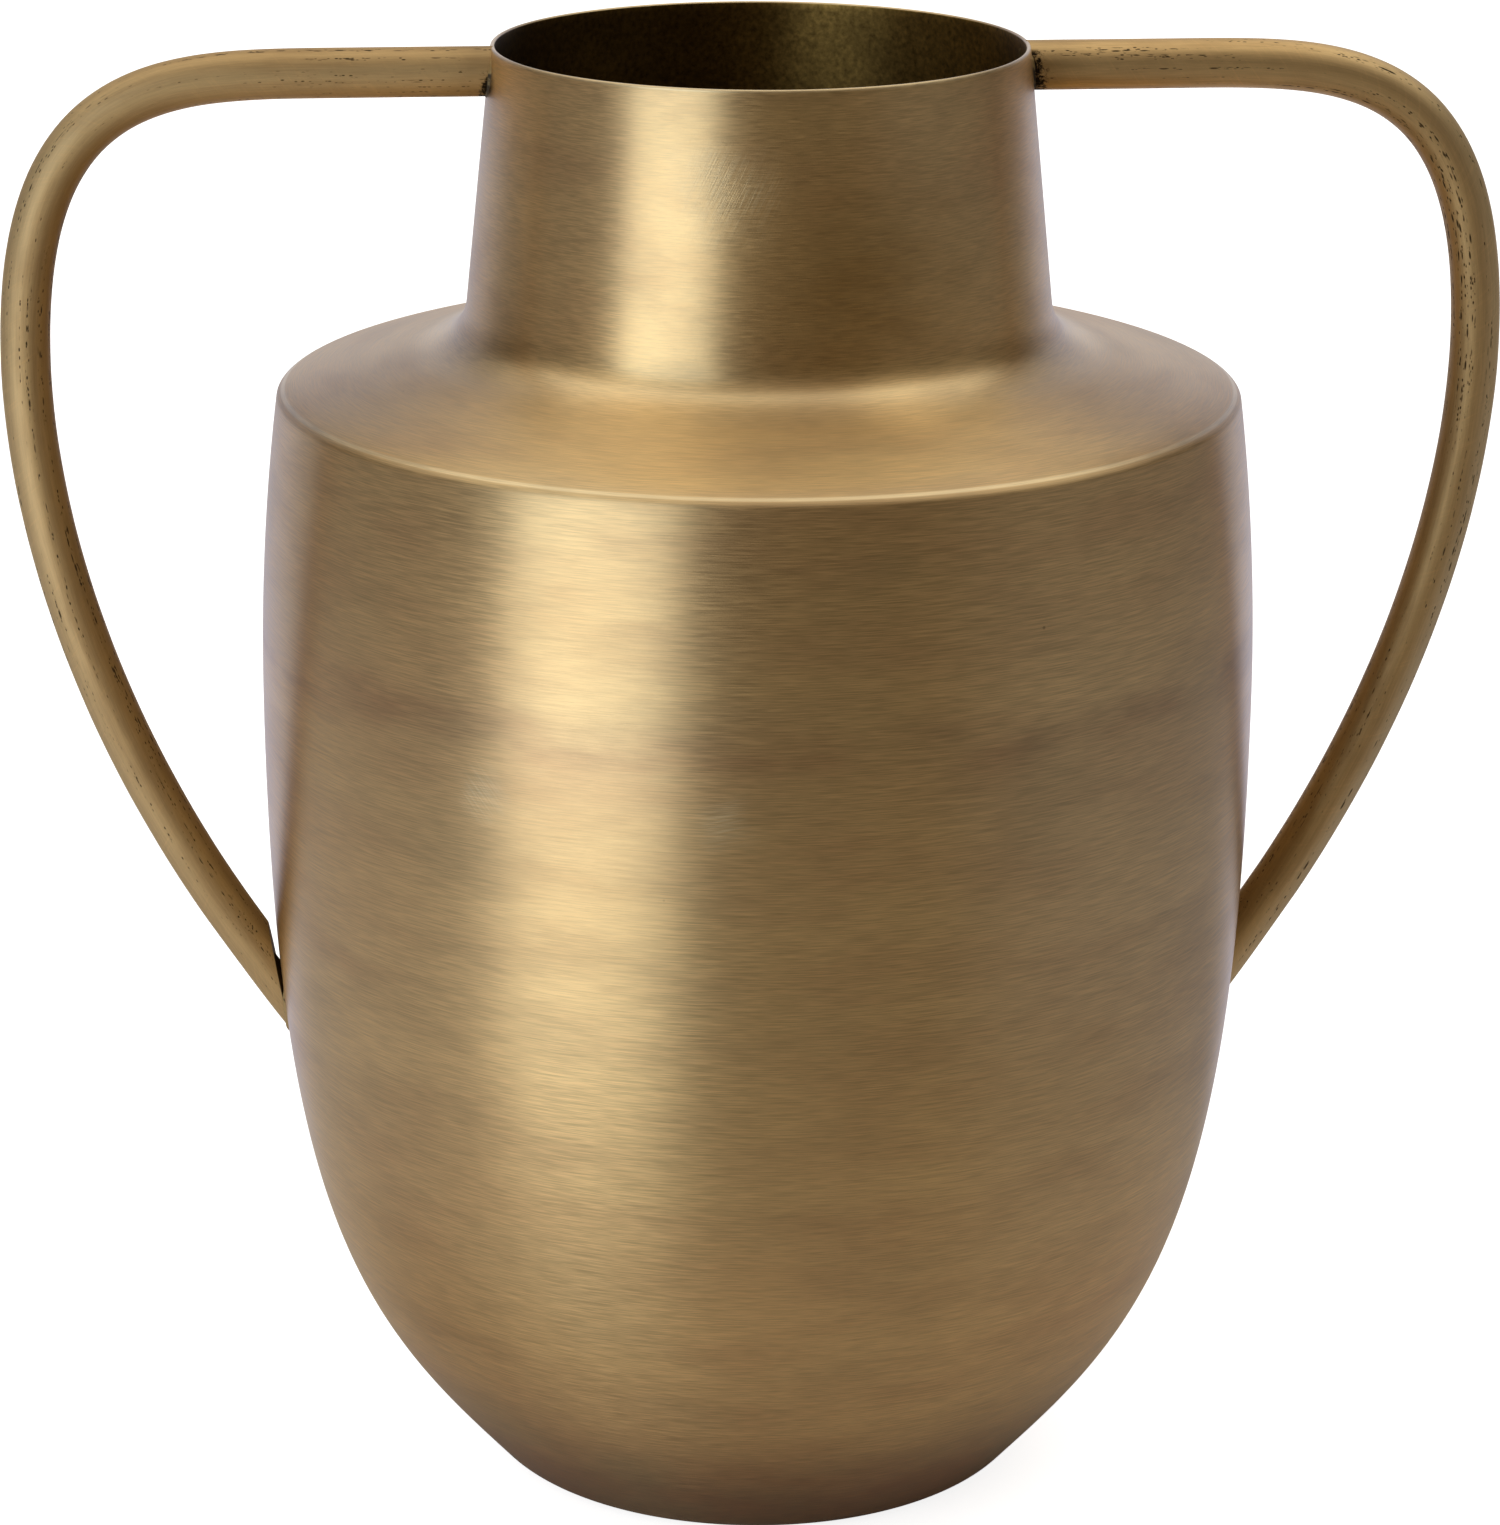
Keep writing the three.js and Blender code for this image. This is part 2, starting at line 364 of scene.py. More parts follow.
@dataclass(frozen=True)
class Grain:
    """Noise with cells of one size in space.

    Attributes:
        cells: the cells in a metre.
        detail: the number of finer layers.
        roughness: the strength of the finer layers.
        seed: picks the noise.
        band: the part of the noise that is drawn out to 0 and 1, where it is.
    """

    cells: float
    detail: float = 2.0
    roughness: float = 0.6
    seed: float = 0.0
    band: tuple[float, float] | None = None

    def place(self, surface: SurfaceMap) -> Signal:
        """Gives the place in the noise."""
        return surface.spread(self.cells)

    def on(self, surface: SurfaceMap) -> Signal:
        """Gives the noise on a surface, from 0 to 1."""
        noise = surface.graph.noise(self.place(surface), self.detail, self.roughness, self.seed)
        return noise.ramp(*self.band) if self.band else noise


@dataclass(frozen=True)
class RingGrain(Grain):
    """Noise that closes on itself round a piece, with cells lengthwise and cells in a radian of the turn."""

    around: float = 1.0

    def place(self, surface: SurfaceMap) -> Signal:
        """Gives the place in the noise."""
        return surface.ringed(self.around, self.cells)


@dataclass(frozen=True)
class SlantGrain(Grain):
    """Noise in slanting lines on a turned surface: the cells are across the lines.

    Attributes:
        lengthwise: the cells in a metre along the lines.
        slant: the lines' angle from the horizontal.
        radius: the surface's radius.
    """

    lengthwise: float = 100.0
    slant: float = 0.0
    radius: float = 100 * MM

    def place(self, surface: SurfaceMap) -> Signal:
        """Gives the place in the noise."""
        return surface.slanted(self.radius, self.slant, self.cells, self.lengthwise)


@dataclass(frozen=True)
class Specks:
    """Scattered specks, one at most in a cell.

    Attributes:
        cells: the cells in a metre, in space or lengthwise.
        size: a speck's radius in cells.
        share: the share of the cells that have a speck.
        seed: picks the pattern.
        around: the cells in a radian of the turn, where the pattern closes on itself round a piece.
    """

    cells: float
    size: float
    share: float
    seed: float
    around: float | None = None

    def on(self, surface: SurfaceMap) -> Signal:
        """Gives the specks on a surface.

        Args:
            surface: the places on the piece.

        Returns:
            A signal that is 1 in a speck and 0 outside.
        """
        graph = surface.graph
        place = surface.ringed(self.around, self.cells) if self.around else surface.spread(self.cells)
        inputs = {"Vector": place, "W": self.seed, "Scale": 1.0}
        pattern = graph.node("ShaderNodeTexVoronoi", {"voronoi_dimensions": "4D"}, inputs)
        chance = graph.parts(Signal(graph, pattern.outputs["Color"]))[0]
        spot = Signal(graph, pattern.outputs["Distance"]).ramp(self.size, self.size * 0.5)
        return spot * (chance > 1 - self.share)


@dataclass(frozen=True)
class Finish:
    """A metal finish: a material whose shader is fed by the subclass."""

    title: str = ""
    anisotropy: float = 0.0
    lacquer: float = 0.0
    lacquer_gloss: float = 0.3
    brush_turn: float = 0.25

    def material(self) -> bpy.types.Material:
        """Makes the material.

        Returns:
            The new material.
        """
        made = bpy.data.materials.new(self.title)
        graph = Graph.fresh(made)
        inputs = self.inputs(SurfaceMap.on(graph))
        # Brush marks run round the axis, so the gloss spreads along it, a quarter turn from the tangent.
        inputs.update({"Anisotropic": self.anisotropy, "Anisotropic Rotation": self.brush_turn})
        inputs.update({"Coat Weight": self.lacquer, "Coat Roughness": self.lacquer_gloss})
        graph.shade(inputs)
        return made

    def inputs(self, surface: SurfaceMap) -> dict[str, Any]:
        """Works out what feeds the shader.

        Args:
            surface: the places on the piece.

        Returns:
            Values and signals by the shader's socket.
        """
        raise NotImplementedError


@dataclass(frozen=True)
class Rub:
    """A spot on the vessel that was rubbed by hand, with slanting scratches.

    Attributes:
        place: its middle.
        slant: the scratches' angle from the horizontal.
        size: its size, roughly a radius.
        bare: the share of wear between the scratches.
        ragged: how far the edge wanders, in sizes.
        fade: where the wear ends and where it is full, in sizes.
        edge: the noise of the edge.
    """

    place: Place
    slant: float
    size: float
    bare: float = 0.25
    ragged: float = 1.2
    fade: tuple[float, float] = (1.6, 0.5)
    edge: Grain = Grain(120, roughness=0.5, seed=6)

    def scratches(self, surface: SurfaceMap) -> Signal:
        """Gives the scratches on a ragged patch.

        Args:
            surface: the places on the shell.

        Returns:
            A signal from 0 to 1.
        """
        ends, full = (self.size * share for share in self.fade)
        ragged = self.edge.on(surface) * (self.size * self.ragged)
        patch = (surface.distance(self.place) + ragged).ramp(ends, full)
        lines = SlantGrain(2200, seed=7, band=(0.4, 0.65), lengthwise=80, slant=self.slant)
        return patch * (self.bare + lines.on(surface) * (1 - self.bare))


@dataclass(frozen=True)
class Smoke:
    """A brown band round the vessel: its height, half its width and its strength."""

    height: float
    half: float
    strength: float

    def band(self, surface: SurfaceMap) -> Signal:
        """Gives the band's strength at each place."""
        apart = surface.graph.maths("ABSOLUTE", surface.height - self.height)
        return apart.ramp(self.half, 0.0) * self.strength


@dataclass(frozen=True)
class Spot:
    """A spot with soft edges on the vessel: its place, its reach and its strength."""

    place: Place
    reach: float
    strength: float

    def share(self, surface: SurfaceMap) -> Signal:
        """Gives the spot's strength at each place."""
        return surface.distance(self.place).ramp(self.reach, 0.0) * self.strength


@dataclass(frozen=True)
class SpunBrass(Finish):
    """Spun sheet brushed round the axis, antiqued brown in faint bands, with a few rubbed spots."""

    title: str = "spun_brass_brushed"
    anisotropy: float = 0.8
    lacquer: float = 0.7
    bright: Colour = (0.812, 0.575, 0.27)
    patina: Colour = (0.50, 0.285, 0.14)
    olive: Colour = (0.43, 0.305, 0.155)
    tarnish_and_shade: Colour = (0.46, 0.275, 0.085)
    highlight_brass: Colour = (0.97, 0.69, 0.325)
    stain: Colour = (0.115, 0.06, 0.018)
    wear_and_highlight: Colour = (0.90, 0.74, 0.45)
    gloss: float = 0.39
    line_contrast: float = 0.48
    calm_contrast: float = 0.1
    line_depth: float = 0.005 * MM
    scratch_lines: float = 3
    rim_height: float = CAD_BOX[1][2]
    lip: float = 0.8 * MM
    # Below this height the colour turns darker and browner: staining, and painted shade near the floor.
    foot_stain_and_shade: float = 38 * MM
    shoulder: tuple[float, float] = (229 * MM, 240 * MM)
    # The crease and the fillet get lighter brass as painted highlight lines at the shoulder's edge and the
    # neck's foot.
    crease: tuple[float, float] = (230.3 * MM, 230.8 * MM)
    fillet: tuple[float, float] = (238.5 * MM, 243 * MM)
    collar: tuple[float, float] = (243 * MM, 251 * MM)
    fine_lines: Grain = RingGrain(4200, seed=1, band=(0.3, 0.7), around=13)
    coarse_lines: Grain = RingGrain(1300, 3, 0.65, 2, (0.3, 0.7), around=6)
    askew_lines: Grain = SlantGrain(3800, seed=8, band=(0.3, 0.7), lengthwise=110, slant=math.radians(2))
    brown_bands: Grain = RingGrain(55, 3, 0.55, 3, (0.35, 0.65), around=0.5)
    brown_smears: Grain = RingGrain(110, 3, 0.55, 9, (0.4, 0.68), around=3)
    brown_clouds: Grain = Grain(14, 3, 0.5, 4, (0.35, 0.65))
    brown_hues: Grain = RingGrain(30, 3, 0.55, 10, (0.35, 0.65), around=1.6)
    dots: Specks = Specks(260, 0.12, 0.08, 5)
    smoke: tuple[Smoke, ...] = (Smoke(182 * MM, 8 * MM, 0.4), Smoke(259 * MM, 17 * MM, 0.12))
    # Darker brown spots of real oxide, except the two at the fillet's flanks by the neck's foot, which are
    # painted shade.
    darkened: tuple[Spot, ...] = (
        Spot((0.0161, -0.0557, 0.2580), 38 * MM, 0.8),
        Spot((-0.0560, -0.0308, 0.2430), 13 * MM, 0.6),
        Spot((0.0480, -0.0425, 0.2430), 13 * MM, 0.6),
        Spot((-0.0425, -0.0921, 0.1530), 38 * MM, 0.3),
        Spot((-0.0420, -0.0905, 0.2070), 30 * MM, 0.2),
        Spot((0.0502, -0.0833, 0.1065), 32 * MM, 0.3),
        Spot((-0.0690, -0.0479, 0.0533), 32 * MM, 0.5),
    )
    # Painted highlights: spots of lighter brass where the neck's and the fillet's highlights fall.
    painted_highlights: tuple[Spot, ...] = (
        Spot((-0.0140, -0.0560, 0.2770), 27 * MM, 0.55),
        Spot((-0.0321, -0.0519, 0.2475), 17 * MM, 0.9),
        Spot((0.0221, -0.0633, 0.2405), 14 * MM, 0.8),
    )
    rubs: tuple[Rub, ...] = (
        Rub((-0.0614, -0.0814, 0.1697), math.radians(-46), 9 * MM),
        Rub((-0.0150, -0.1005, 0.1680), math.radians(13), 8 * MM),
        Rub((-0.0115, -0.0550, 0.2805), math.radians(50), 14 * MM),
    )

    def brushed(self, surface: SurfaceMap) -> Signal:
        """Gives the fine lines that run round the axis, some of them a little askew.

        Args:
            surface: the places on the shell.

        Returns:
            A signal from 0 to 1.
        """
        fine, coarse, askew = (
            lines.on(surface) for lines in (self.fine_lines, self.coarse_lines, self.askew_lines)
        )
        return fine * 0.7 + coarse * 0.08 + askew * 0.22

    def browned(self, surface: SurfaceMap, smears: Signal, foot: Signal) -> Signal:
        """Gives the share of brown patina.

        Args:
            surface: the places on the shell.
            smears: the smears that break up the bands.
            foot: the share of the stain and the painted shade towards the foot.

        Returns:
            A signal from 0 to 1.
        """
        bands, clouds = self.brown_bands.on(surface), self.brown_clouds.on(surface)
        brown = bands * 0.2 + smears * 0.2 + clouds * 0.14 + foot
        broken = 0.3 + smears * 0.7
        brown = sum((smoke.band(surface) * broken for smoke in self.smoke), brown)
        return surface.graph.maths("MINIMUM", brown, 1.0)

    def between(self, height: Signal, heights: tuple[float, float]) -> Signal:
        """Gives a band with soft ends.

        Args:
            height: the height at each place.
            heights: the lowest and the highest of the band.

        Returns:
            A signal that is 1 in the band and 0 outside.
        """
        low, high = heights
        soft = (high - low) / 4
        return height.ramp(low - soft, low + soft) * height.ramp(high + soft, high - soft)

    def inputs(self, surface: SurfaceMap) -> dict[str, Any]:
        """Works out colour, gloss and brush lines.

        Args:
            surface: the places on the shell.

        Returns:
            Values and signals by the shader's socket.
        """
        graph, height = surface.graph, surface.height
        slope, fillet, crease = (
            self.between(height, zone) for zone in (self.shoulder, self.fillet, self.crease)
        )
        foot = height.ramp(self.foot_stain_and_shade, 0.0)
        collar = height.ramp(*self.collar)
        lip = height.ramp(self.rim_height - self.lip, self.rim_height - self.lip * 0.4)
        brush = self.brushed(surface)
        smears = self.brown_smears.on(surface)
        scratches = sum(rub.scratches(surface) for rub in self.rubs)
        uneven = 0.8 + smears * 0.2
        darkened = sum(spot.share(surface) * uneven for spot in self.darkened)
        painted_highlights = sum(spot.share(surface) for spot in self.painted_highlights)
        dots = self.dots.on(surface)
        aged = graph.mix(self.brown_hues.on(surface), self.patina, self.olive)
        colour = graph.mix(self.browned(surface, smears, foot), self.bright, aged)
        # Darker brown spots: real oxide, and painted shade on the fillet's flanks.
        colour = graph.mix(darkened, colour, self.tarnish_and_shade)
        # Painted highlights: lighter brass on the neck and the fillet.
        colour = graph.mix(painted_highlights, colour, self.highlight_brass)
        # Dark specks, and darker towards the foot: staining and painted shade.
        colour = graph.mix(dots * 0.45 + foot * 0.2, colour, self.stain)
        # Lighter brass: real wear at the rubbed spots and the rim's lip, and painted highlights on the fillet
        # and the crease.
        colour = graph.mix(scratches * 0.7 + lip * 0.6 + fillet * 0.25 + crease * 0.55, colour, self.wear_and_highlight)
        calm = (height.ramp(*self.shoulder) + slope) * self.calm_contrast
        colour = graph.tinted(colour, 1 + (brush - 0.5) * (self.line_contrast - calm))
        rough = (brush - 0.5) * 0.12 + smears * 0.03 + scratches * 0.16 + slope * 0.08 + collar * 0.02
        gloss = self.gloss + rough - fillet * 0.06 - crease * 0.12
        normal = graph.bump(brush + scratches * self.scratch_lines, self.line_depth)
        return {"Base Color": colour, "Metallic": 1.0, "Roughness": gloss, "Normal": normal}


@dataclass(frozen=True)
class InsideBrass(Finish):
    """Unpolished brass inside the vessel, dark and satin, and darker on its left with painted shade."""

    title: str = "inside_brass_dark"
    anisotropy: float = 0.8
    bare: Colour = (0.52, 0.32, 0.086)
    dull: Colour = (0.31, 0.19, 0.052)
    gloss: float = 0.36
    metal: float = 1.0
    tarnish_and_shade: float = 0.66
    shaded_side_end: tuple[float, float] = (20 * MM, -10 * MM)
    depth: float = 0.04 * MM
    clouds: Grain = Grain(30, 5, 0.65, 11, (0.35, 0.65))
    specks: Grain = Grain(900, seed=12)
    lines: Grain = RingGrain(1200, seed=13, around=3)

    def inputs(self, surface: SurfaceMap) -> dict[str, Any]:
        """Works out the dull colour with its fine specks.

        Args:
            surface: the places on the shell.

        Returns:
            Values and signals by the shader's socket.
        """
        graph = surface.graph
        specks = self.specks.on(surface)
        # Painted shade: the colour darkens towards the left side of the inside.
        darkened = graph.parts(surface.place)[0].ramp(*self.shaded_side_end) * self.tarnish_and_shade
        colour = graph.mix(self.clouds.on(surface), self.bare, self.dull)
        colour = graph.tinted(colour, (0.1 + specks * 1.8) * (1 - darkened))
        normal = graph.bump((self.lines.on(surface) + specks) * 0.5, self.depth)
        gloss = self.gloss + specks * 0.1
        return {"Base Color": colour, "Metallic": self.metal, "Roughness": gloss, "Normal": normal}


@dataclass(frozen=True)
class TubeBrass(Finish):
    """Drawn tube, brushed, with dark pits in lines along it and soot at its upper joint."""

    title: str = "handle_brass_right"
    lacquer: float = 0.1
    bright: Colour = (0.785, 0.545, 0.258)
    patina: Colour = (0.47, 0.30, 0.135)
    wear_and_highlight: Colour = (0.92, 0.74, 0.44)
    # Painted shade: the dark brown near the neck and on the tube's inner side.
    shade_brown: Colour = (0.15, 0.09, 0.036)
    stain: Colour = (0.035, 0.021, 0.01)
    gloss: float = 0.52
    # How much lighter the outer line is: wear, and painted highlight.
    outer_wear_and_highlight: float = 0.7
    depth: float = 0.05 * MM
    bar: tuple[float, float] = (45 * MM, 95 * MM)
    shade_reach: float = 16 * MM
    soot_reach: float = 5 * MM
    soot_top: float = CAD_BOX[1][2] - 1.6 * MM
    soot_edge: float = 0.5 * MM
    inner_edge: tuple[float, float] = (0.24, 0.42)
    outer_edge: tuple[float, float] = (0.26, 0.1)
    streaks: Grain = RingGrain(22, 4, 0.65, 21, around=2.4)
    hairs: Grain = RingGrain(170, seed=22, band=(0.3, 0.7), around=16)
    rubs: Grain = SlantGrain(
        1600, seed=23, band=(0.5, 0.75), lengthwise=110, slant=math.radians(35), radius=5 * MM
    )
    clouds: Grain = Grain(45, 4, 0.6, 24)
    pit_rows: Grain = RingGrain(14, roughness=0.5, seed=28, around=4)
    dashes: Specks = Specks(420, 0.54, 0.55, 25, around=10)
    pits: Specks = Specks(1100, 0.55, 0.4, 26, around=14)
    soot_grains: Grain = Grain(1500, 3, 0.7, 27)
    soot_patches: Grain = Grain(280, roughness=0.5, seed=29)

    def both(self, surface: SurfaceMap, edge: tuple[float, float]) -> tuple[Signal, Signal]:
        """Gives a soft edge on the tube's front half and the same on its back half."""
        start, end = edge
        return surface.turn.ramp(start, end), surface.turn.ramp(1 - start, 1 - end)

    def inner(self, surface: SurfaceMap) -> Signal:
        """Gives 1 on the tube's inner line, half a turn round, and 0 on its outer half."""
        front, back = self.both(surface, self.inner_edge)
        return front * back

    def outer(self, surface: SurfaceMap) -> Signal:
        """Gives 1 on the tube's outer line, where the turn starts and ends, and 0 on its inner half."""
        return surface.graph.maths("MAXIMUM", *self.both(surface, self.outer_edge))

    def pitted(self, surface: SurfaceMap) -> Signal:
        """Gives the dark pits and dashes that lie in rows along the tube.

        Args:
            surface: the places on the tube.

        Returns:
            A signal from 0 to 1.
        """
        rows = self.pit_rows.on(surface) + self.inner(surface) * 0.07
        dashes = self.dashes.on(surface) * rows.ramp(0.57, 0.63)
        pits = self.pits.on(surface) * rows.ramp(0.54, 0.61)
        return surface.graph.maths("MAXIMUM", dashes, pits)

    def sooty(self, surface: SurfaceMap) -> Signal:
        """Gives the soot at the upper joint.

        Args:
            surface: the places on the tube.

        Returns:
            A signal from 0 to 1.
        """
        near = surface.along.ramp(self.soot_reach, 0.0)
        below = surface.height.ramp(self.soot_top + self.soot_edge, self.soot_top - self.soot_edge)
        soot = self.soot_grains.on(surface) * 0.9 + self.soot_patches.on(surface) * 0.9 + near * 0.3
        return soot.ramp(0.98, 1.2) * near.ramp(0.0, 0.5) * below

    def inputs(self, surface: SurfaceMap) -> dict[str, Any]:
        """Works out streaks, pits and stains.

        Args:
            surface: the places on the tube.

        Returns:
            Values and signals by the shader's socket.
        """
        graph = surface.graph
        hairs, rubs, clouds = (grain.on(surface) for grain in (self.hairs, self.rubs, self.clouds))
        dark = graph.maths("MINIMUM", self.pitted(surface) * 0.85 + self.sooty(surface), 1.0)
        brown = (self.streaks.on(surface) * 0.6 + clouds * 0.4).ramp(0.42, 0.66)
        past_bar = surface.along.ramp(*self.bar)
        shade = surface.along.ramp(self.shade_reach, 0.0) * clouds
        colour = graph.mix(brown * 0.45, self.bright, self.patina)
        # The outer line past the bar is lighter: wear, and painted highlight.
        colour = graph.mix(self.outer(surface) * past_bar * self.outer_wear_and_highlight, colour, self.wear_and_highlight)
        # Painted shade near the neck and on the inner side, which faces the vase.
        colour = graph.mix(shade * 0.5 + self.inner(surface) * past_bar * 0.4, colour, self.shade_brown)
        colour = graph.mix(dark, colour, self.stain)
        colour = graph.tinted(colour, 0.9 + hairs * 0.1 + rubs * 0.1)
        gloss = self.gloss + brown * 0.08 + rubs * 0.06 + dark * 0.3
        normal = graph.bump(hairs * 0.12 + rubs * 0.08 - dark, self.depth)
        return {"Base Color": colour, "Metallic": 1.0, "Roughness": gloss, "Normal": normal}


@dataclass(frozen=True)
class BrazeBrass(Finish):
    """Brazing filler dressed by hand, with dark flux left in its hollows."""

    title: str = "braze_dressed"
    bright: Colour = (0.62, 0.46, 0.22)
    flux: Colour = (0.025, 0.017, 0.01)
    gloss: float = 0.42
    depth: float = 0.25 * MM
    burnt_low: tuple[float, float] = (CAD_BOX[1][2] - 17 * MM, CAD_BOX[1][2] - 16 * MM)
    burnt_high: tuple[float, float] = (CAD_BOX[1][2] - 4.3 * MM, CAD_BOX[1][2] - 4.9 * MM)
    lumps: Grain = Grain(420, 4, 0.6, 31)
    grains: Grain = Grain(1600, seed=32)

    def inputs(self, surface: SurfaceMap) -> dict[str, Any]:
        """Works out the filler's colour and its flux, which is black under the tubes' upper ends.

        Args:
            surface: the places on the fillet.

        Returns:
            Values and signals by the shader's socket.
        """
        graph = surface.graph
        lumps = self.lumps.on(surface)
        burnt = surface.height.ramp(*self.burnt_high) * surface.height.ramp(*self.burnt_low)
        dark = graph.maths("MAXIMUM", lumps.ramp(0.52, 0.66), burnt * lumps.ramp(0.3, 0.5))
        colour = graph.mix(dark * 0.95, self.bright, self.flux)
        normal = graph.bump(lumps * 0.7 + self.grains.on(surface) * 0.3, self.depth)
        gloss = self.gloss + dark * 0.25
        return {"Base Color": colour, "Metallic": 1 - dark * 0.8, "Roughness": gloss, "Normal": normal}


# The dark finish of the cap in the lower slot: painted shade for the tube's shadowed hollow.
BORE_SHADE = InsideBrass(
    title="tube_bore_painted_shade",
    anisotropy=0.4,
    bare=(0.15, 0.077, 0.008),
    dull=(0.08, 0.041, 0.004),
    gloss=0.5,
    metal=0.6,
    tarnish_and_shade=0.0,
)
RIGHT_TUBE = TubeBrass()
LEFT_TUBE = TubeBrass(
    title="handle_brass_left",
    bright=(0.65, 0.45, 0.215),
    gloss=0.61,
    outer_wear_and_highlight=0.4,
    soot_reach=3 * MM,
    soot_top=CAD_BOX[1][2] - 4.4 * MM,
)


def arc(centre: Points, radius: float, start: float, end: float, steps: int) -> Points:
    """Gives points on an arc.

    Args:
        centre: the arc's centre.
        radius: its radius.
        start: the angle of its first point.
        end: the angle of its last point.
        steps: the number of stretches.

    Returns:
        Points as rows.
    """
    angles = np.linspace(start, end, steps + 1)
    return np.asarray(centre) + radius * np.stack([np.cos(angles), np.sin(angles)], 1)


def bezier(points: Sequence[Points], steps: int) -> Points:
    """Gives points on a cubic curve.

    Args:
        points: its two ends with the two pulls between them.
        steps: the number of stretches.

    Returns:
        Points as rows.
    """
    t = np.linspace(0, 1, steps + 1)[:, None]
    first, pull_out, pull_in, last = (np.asarray(point, dtype=float) for point in points)
    return (1 - t) ** 3 * first + 3 * t * (1 - t) ** 2 * pull_out + 3 * t**2 * (1 - t) * pull_in + t**3 * last


def unit(vectors: Points) -> Points:
    """Gives a vector, or rows of them, one unit long."""
    return vectors / np.linalg.norm(vectors, axis=-1, keepdims=True)


def chained(parts: Sequence[Points], spacing: float) -> Points:
    """Joins stretches end to end and fills long ones with more points.

    Args:
        parts: the stretches in order, each as rows of points.
        spacing: the longest step that is left between two points.

    Returns:
        Points as rows, with none twice.
    """
    corners = np.concatenate(parts)
    kept = [corners[0]]
    for corner in corners[1:]:
        gap = np.linalg.norm(corner - kept[-1])
        if gap < spacing * SAME_POINT:
            continue
        steps = math.ceil(gap / spacing)
        begin = kept[-1]
        kept.extend(begin + (corner - begin) * step / steps for step in range(1, steps + 1))
    return np.array(kept)


def shifted(points: Points, distance: float) -> Points:
    """Shifts a chain of points to its left, with mitred corners.

    Args:
        points: the chain in a plane.
        distance: how far it goes.

    Returns:
        As many points as before.
    """
    step = np.diff(points, axis=0)
    left = unit(np.stack([-step[:, 1], step[:, 0]], 1))
    behind = np.vstack([left[:1], left])
    ahead = np.vstack([left, left[-1:]])
    mitre = (behind + ahead) / (1 + (behind * ahead).sum(1))[:, None]
    return points + distance * mitre


def lengths(points: Points) -> np.ndarray:
    """Gives the length along a chain at each of its points."""
    return np.concatenate([[0.0], np.cumsum(np.linalg.norm(np.diff(points, axis=0), axis=1))])


@dataclass
class Rings:
    """Closed rings in order, with a row in each array for each ring.

    Attributes:
        centre: the middle.
        across: the first half-axis.
        beside: the second half-axis.
        along: the length along the skin.
        inside: 1 on the inside of a sheet, else 0.
        sharp: 1 at a sharp edge, else 0.
    """

    centre: Points
    across: Points
    beside: Points
    along: np.ndarray
    inside: np.ndarray
    sharp: np.ndarray

    @classmethod
    def turned(cls, outline: Points, along: np.ndarray, inside: np.ndarray, sharp: Sequence[int]) -> "Rings":
        """Makes the rings of a piece turned about Z.

        Args:
            outline: rows of radius and height.
            along: the length along the outline at each row.
            inside: 1 for a row on the inside of the sheet, else 0.
            sharp: the rows at a sharp edge.

        Returns:
            The rings.
        """
        radius, height = outline.T
        none = np.zeros_like(radius)
        centre = np.stack([none, none, height], 1)
        across = np.stack([radius, none, none], 1)
        beside = np.stack([none, radius, none], 1)
        edges = none.copy()
        edges[list(sharp)] = 1
        return cls(centre, across, beside, along, inside, edges)

    def facing(self, side: Side) -> "Rings":
        """Turns the rings half a turn about Z for the left side.

        Args:
            side: the side of the vessel.

        Returns:
            The rings on that side.
        """
        turn = np.array([side.value, side.value, 1.0])
        axes = (self.centre * turn, self.across * turn, self.beside * turn)
        return Rings(*axes, self.along, self.inside, self.sharp)


@dataclass(frozen=True)
class Waver:
    """The unevenness of hand work on a skin: its height, its size and the seed that picks it."""

    height: float
    size: float
    seed: float


